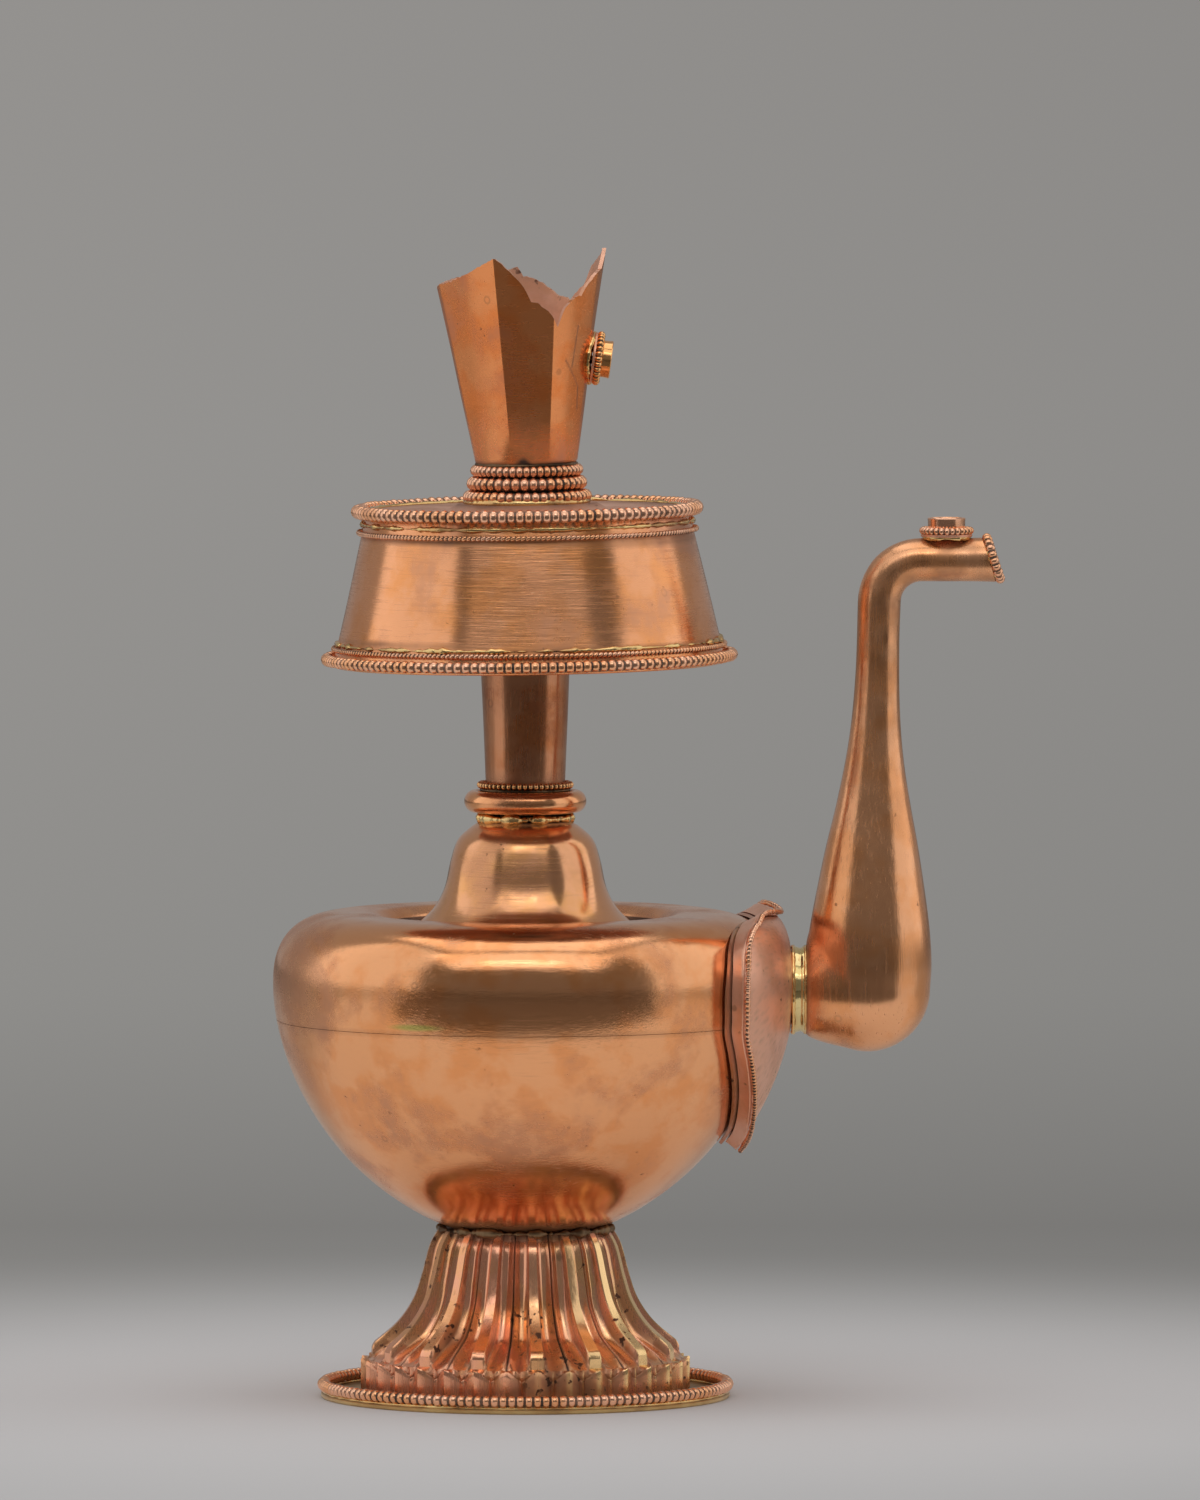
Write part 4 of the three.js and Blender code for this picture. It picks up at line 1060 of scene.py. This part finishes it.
def makeShield():
    s = shield
    backTop = s["seat"] + s["sheet"]
    back = shieldSkin(-s["flange"], s["seat"], backTop, 14, "agedCopper")
    dress(back, "shield_back_plate", dirt=lambda p: 0.45)
    edges = shieldOutline()
    low, high, wall = backTop + gap, s["rimTop"], s["rimWall"]
    section = [(0, low), (0.05, low + 0.6), (0.05, high - 0.8), (-0.05, high - 0.2), (0.1, high),
               (wall - 0.1, high), (wall, high - 0.2), (wall, low)]
    rows = [[shieldPoint(e, 0, a, o) for e in edges] for a, o in section]
    rim = gridObject(rows, "firedCopper", loop=True, sharp=50)
    dress(rim, "shield_rim")
    path = [shieldPoint(e, 0, wall / 2, high + 0.2 + s["wire"] / 2) for e in edges]
    length = sum((a - b).length for a, b in zip(path, path[1:] + path[:1]))
    rope = wire(path, "wireCopper", round(length / 0.85), s["wire"], fill=1.3, slant=32, uneven=0.15, seed=41)
    dress(rope, "shield_wire")
    face = shieldSkin(wall + gap, s["lift"] - s["sheet"], s["lift"], 24, "firedCopper", s["dish"])
    dress(face, "shield_face", dirt=faceDirt)


# Collar and spout

collar = {"radius": 8.25, "back": 51.55, "front": 53.1, "dish": 0.6, "bore": 6.0}
spout = {
    "height": 77.6, "bulb": 65.1, "bulbRadius": 11.8, "bend": 8.0, "level": 159.4, "bendFoot": 67.24,
    "radius": 4.1, "wall": 0.8, "reach": 88.0, "tilt": 18.0, "mouthWire": 1.9, "mouthBeads": 21,
    "bezelReach": 80.0, "flatEdge": 11.4, "flatFade": 3.2,
    "taper": [(11.8, 77.6), (11.9, 83), (11.2, 91), (9.5, 100.8), (7.1, 112.7), (5.2, 123.5), (4.3, 134),
              (4.0, 143), (4.1, 151.4)],
}
roundBore = placed(0, spout["height"], math.pi / 2)


def makeCollar():
    c = collar
    r, back, front = c["radius"], c["back"], c["front"]
    profile = [(c["bore"], back), (r - 0.25, back - c["dish"]), (r, back - c["dish"] + 0.3),
               (r - 0.25, back + 0.5), (r - 0.3, front - 0.7), (r, front - 0.35), (r - 0.1, front),
               (c["bore"], front)]
    ring = turned(profile, "brightBrass", 96, move=roundBore, sharp=60)
    dress(ring, "spout_collar", dirt=lambda p: 0.1)
    behind, ahead = (ringPath(r - 0.15, x, 100, roundBore) for x in (back - c["dish"] - 0.05, front + 0.15))
    solder("collarSolderBack", behind, "solderBrass", 0.7, seed=14)
    solder("collarSolderFront", ahead, "solderBrass", 0.6, seed=15)


def spoutRings(wall):
    s = spout
    rings = []
    radius = s["bulbRadius"] - wall
    for k in range(30):
        a = -math.pi / 2 + math.pi / 2 * k / 30
        rings.append((s["bulb"], s["height"] + radius * math.sin(a), 90, radius * math.cos(a), 0))
    base, top = s["height"], s["level"] - s["bend"]
    for r, z in catmullRom(s["taper"], 8):
        share = (z - base) / (top - base)
        rings.append((s["bulb"] + (s["bendFoot"] - s["bulb"]) * share, z, 90, r - wall, 0))
    for k in range(1, 15):
        travel = 90 - 90 * k / 14
        x = s["bendFoot"] + s["bend"] * (1 - math.sin(rad(travel)))
        rings.append((x, top + s["bend"] * math.cos(rad(travel)), travel, s["radius"] - wall, 0))
    start = s["bendFoot"] + s["bend"]
    for k in range(1, 13):
        share = k / 12
        flare = 0.12 * share ** 6
        rings.append((start + (s["reach"] - start) * share, s["level"], 0, s["radius"] + flare - wall, share))
    return rings


def spoutRow(ring, steps):
    x, z, travel, radius, shear = ring
    row = []
    for corner in turns(steps):
        level = radius * math.cos(corner)
        px = x + level * math.sin(rad(travel))
        pz = z - level * math.cos(rad(travel))
        if shear:
            px -= math.tan(rad(spout["tilt"])) * (pz - spout["level"]) * shear
        row.append(Vector((px, radius * math.sin(corner), pz)))
    return row


def meetCollar(point):  # the side of the bulb swells to sit flat on the collar
    if point.z > 100 or point.x > spout["bulb"]:
        return
    away = math.hypot(point.y, point.z - spout["height"])
    share = clipped((spout["flatEdge"] - away) / spout["flatFade"])
    share = share * share * (3 - 2 * share)
    point.x += min(collar["front"] + 0.3 - point.x, 0.0) * share


def spoutDirt(p):  # grime by the collar, and a duller skin towards the mouth
    collarGrime = max(0.0, 0.5 - abs(p.x - 53.4) * 0.5) if p.z < 90 else 0.0
    return collarGrime + clipped((p.z - 100) / 60) * (0.16 + 0.3 * noise.noise(p * 0.35))


def makeSpout():
    s = spout
    steps = 160
    outer = [spoutRow(r, steps) for r in spoutRings(0)]
    for row in outer:
        for point in row:
            meetCollar(point)
    rows = outer + [spoutRow(r, steps) for r in spoutRings(s["wall"])[::-1]]
    for row in rows:
        for point in row:
            side = Vector((point.x - s["bulb"] - 1, point.y, 0))
            if side.length > 0.5:
                point += side.normalized() * 0.12 * noise.noise(point * 0.08)
    tube = gridObject(rows, "spunCopper", sharp=50)
    dress(tube, "spout_tube", dirt=spoutDirt)

    tilt = rad(s["tilt"])
    clear = s["mouthWire"] / 2
    x, z = s["reach"] + clear * math.cos(tilt), s["level"] + clear * math.sin(tilt)
    mouth = placed(x, z, math.pi / 2 - tilt)
    beadRing("spout_mouth_bead_ring", s["radius"], 0, s["mouthBeads"], s["mouthWire"], steps=90, move=mouth,
             fill=1.05, core=0.8, seed=51)
    solder("mouthSolder", ringPath(s["radius"] - 0.1, -0.6, 80, mouth), "solderBrass", 0.7, seed=16)
    makeBezel("spout", "wireCopper", placed(s["bezelReach"], s["level"] + s["radius"]), 61, 0.0)


for label, maker in (("base", makeBase), ("foot", makeFoot), ("body", makeBody), ("neck", makeNeck),
                     ("canopy", makeCanopy), ("crown", makeCrown), ("shield", makeShield),
                     ("collar", makeCollar), ("spout", makeSpout)):
    maker()
    print("made", label)
solder("footSolder", ringPath(16.35, 32.25, 220), "dirtySolder", 1.1, lumps=1.0, seed=3)


# Stage: a pale floor that, for the camera, runs back into a glowing grey painted with light and shade, and
# soft boxes round a dark camera side

stage = {
    "floorRadius": 24.0, "paper": (0.86, 0.84, 0.82), "paperSeen": (0.64, 0.63, 0.635),
    "farPaper": (0.50, 0.49, 0.47), "paperEnd": -0.19,
    "beyond": (0.14, 0.13, 0.12), "base": 0.15, "behind": 0.17, "backdrop": 0.26, "paintedSideLight": 1.7,
    # the glow the camera sees on the far floor: painted light and shade from front to back
    "paintedFloorLight": [
        (0.0, (0.50, 0.49, 0.49)), (0.34, (0.455, 0.445, 0.445)), (0.44, (0.36, 0.355, 0.35)),
        (0.50, (0.31, 0.303, 0.295)), (0.555, (0.262, 0.255, 0.247)), (0.64, (0.205, 0.200, 0.192)),
        (0.76, (0.26, 0.255, 0.245)), (0.9, (0.285, 0.277, 0.267)), (1.0, (0.278, 0.268, 0.258)),
    ],
}
lamps = {
    "left": {"place": (-1.0, -0.19, 0.95), "size": (1.30, 1.75), "aim": (0, -0.19, 0.95), "level": 0.68},
    "right": {"place": (1.0, 0.0, 0.95), "size": (1.16, 1.75), "aim": (0, 0.0, 0.95), "level": 0.68},
    "above": {"place": (0, 0.15, 1.75), "size": (1.6, 1.4), "aim": (0, 0.15, 0), "level": 1.1},
    "front": {"place": (0, -1.05, 1.35), "size": (2.2, 1.0), "aim": (0, 0, 0.1), "level": 1.05},
    "spark": {"place": (-0.05, -1.10, 1.15), "size": (0.9, 0.10), "aim": (0, 0, 0.1), "level": 2.4},
}


def makeFloor():
    shader = Shader(bpy.data.materials.new("floorPaper"))
    place = shader.node("TexCoord").outputs["Object"]
    x, y, _ = shader.split(place)
    # painted light: the glow is lighter on the left and darker on the right
    paintedSideLight = 1.0 - (x / (y + 3.8)).between(-0.04, 0.04) * stage["paintedSideLight"]
    bent = y / (1.0 + y.sum("ABSOLUTE", y)) * 0.5 + 0.5
    ramp = shader.node("ValToRGB", {"stops": stage["paintedFloorLight"]}, {"Fac": bent})
    light = shader.node("LightPath").outputs
    seen, glossy = Val(shader, light["Is Camera Ray"]), Val(shader, light["Is Glossy Ray"])
    ahead = (y * -1.73 - x.sum("ABSOLUTE", x)).stepped(0.0, 0.02)
    end = stage["paperEnd"]
    ended = y.stepped(end, end - 0.012) * ahead * glossy  # in reflections it is dark towards the camera
    colour = shader.mixed(y.stepped(0.0, 0.14) * glossy, (*stage["paper"], 1), (*stage["farPaper"], 1))
    colour = shader.mixed(ended, colour, (*stage["beyond"], 1))
    colour = shader.mixed(seen, colour, (*stage["paperSeen"], 1))
    paper = shader.node("BsdfDiffuse", None, {"Color": colour})
    # painted light and shade: beyond the object the camera sees the floor glow, brighter in front and darkest
    # in a band just behind
    glow = shader.node("Emission", None, {"Color": ramp, "Strength": paintedSideLight})
    far = shader.length(place).stepped(0.07, 0.34) * seen
    surface = shader.node("MixShader", None, {0: far, 1: paper, 2: glow})
    mesh = bpy.data.meshes.new("floor")
    mesh.from_pydata([around(stage["floorRadius"], turn) for turn in turns(128)], [], [tuple(range(128))])
    mesh.materials.append(shader.finishSurface(surface))
    linked("floor", mesh)


def makeWorld():
    world = bpy.data.worlds.new("studio")
    bpy.context.scene.world = world
    shader = Shader(world)
    way = shader.node("TexCoord").outputs["Generated"]
    x, y, _ = shader.split(way)
    back = y.stepped(-0.15, 0.45)
    paintedSideLight = 1.0 - x.between(-0.04, 0.04) * stage["paintedSideLight"]
    seen = Val(shader, shader.node("LightPath").outputs["Is Camera Ray"])
    strength = (stage["base"] + back * stage["behind"]) * (1.0 - seen) + seen * stage["backdrop"] * paintedSideLight
    glow = shader.node("Background", None, {"Color": (1.0, 0.97, 0.94, 1), "Strength": strength})
    shader.node("OutputWorld", None, {0: glow})


def makeLamps():
    for name, look in lamps.items():
        light = bpy.data.lights.new(name + "SoftBox", "AREA")
        light.shape = "RECTANGLE"
        light.size, light.size_y = look["size"]
        light.energy = look["level"] * math.pi * light.size * light.size_y
        lamp = linked(light.name, light)
        lamp.location = look["place"]
        way = Vector(look["aim"]) - lamp.location
        lamp.rotation_euler = way.to_track_quat("-Z", "Y").to_euler()
        lamp.visible_camera = False


def makeCamera():
    view = {"lens": 480.0, "distance": 3.8, "pitch": 3.4, "centre": (0.0142, 0, 0.1232)}
    data = bpy.data.cameras.new("camera")
    data.lens, data.sensor_width = view["lens"], 36.0
    data.clip_end = 60.0
    camera = linked("camera", data)
    pitch = rad(view["pitch"])
    back = Vector((0, -math.cos(pitch), math.sin(pitch))) * view["distance"]
    camera.location = Vector(view["centre"]) + back
    camera.rotation_euler = (math.pi / 2 - pitch, 0, 0)
    bpy.context.scene.camera = camera


makeFloor()
makeWorld()
makeLamps()
makeCamera()
bpy.context.scene.view_settings.view_transform = "Standard"
print("stage made")
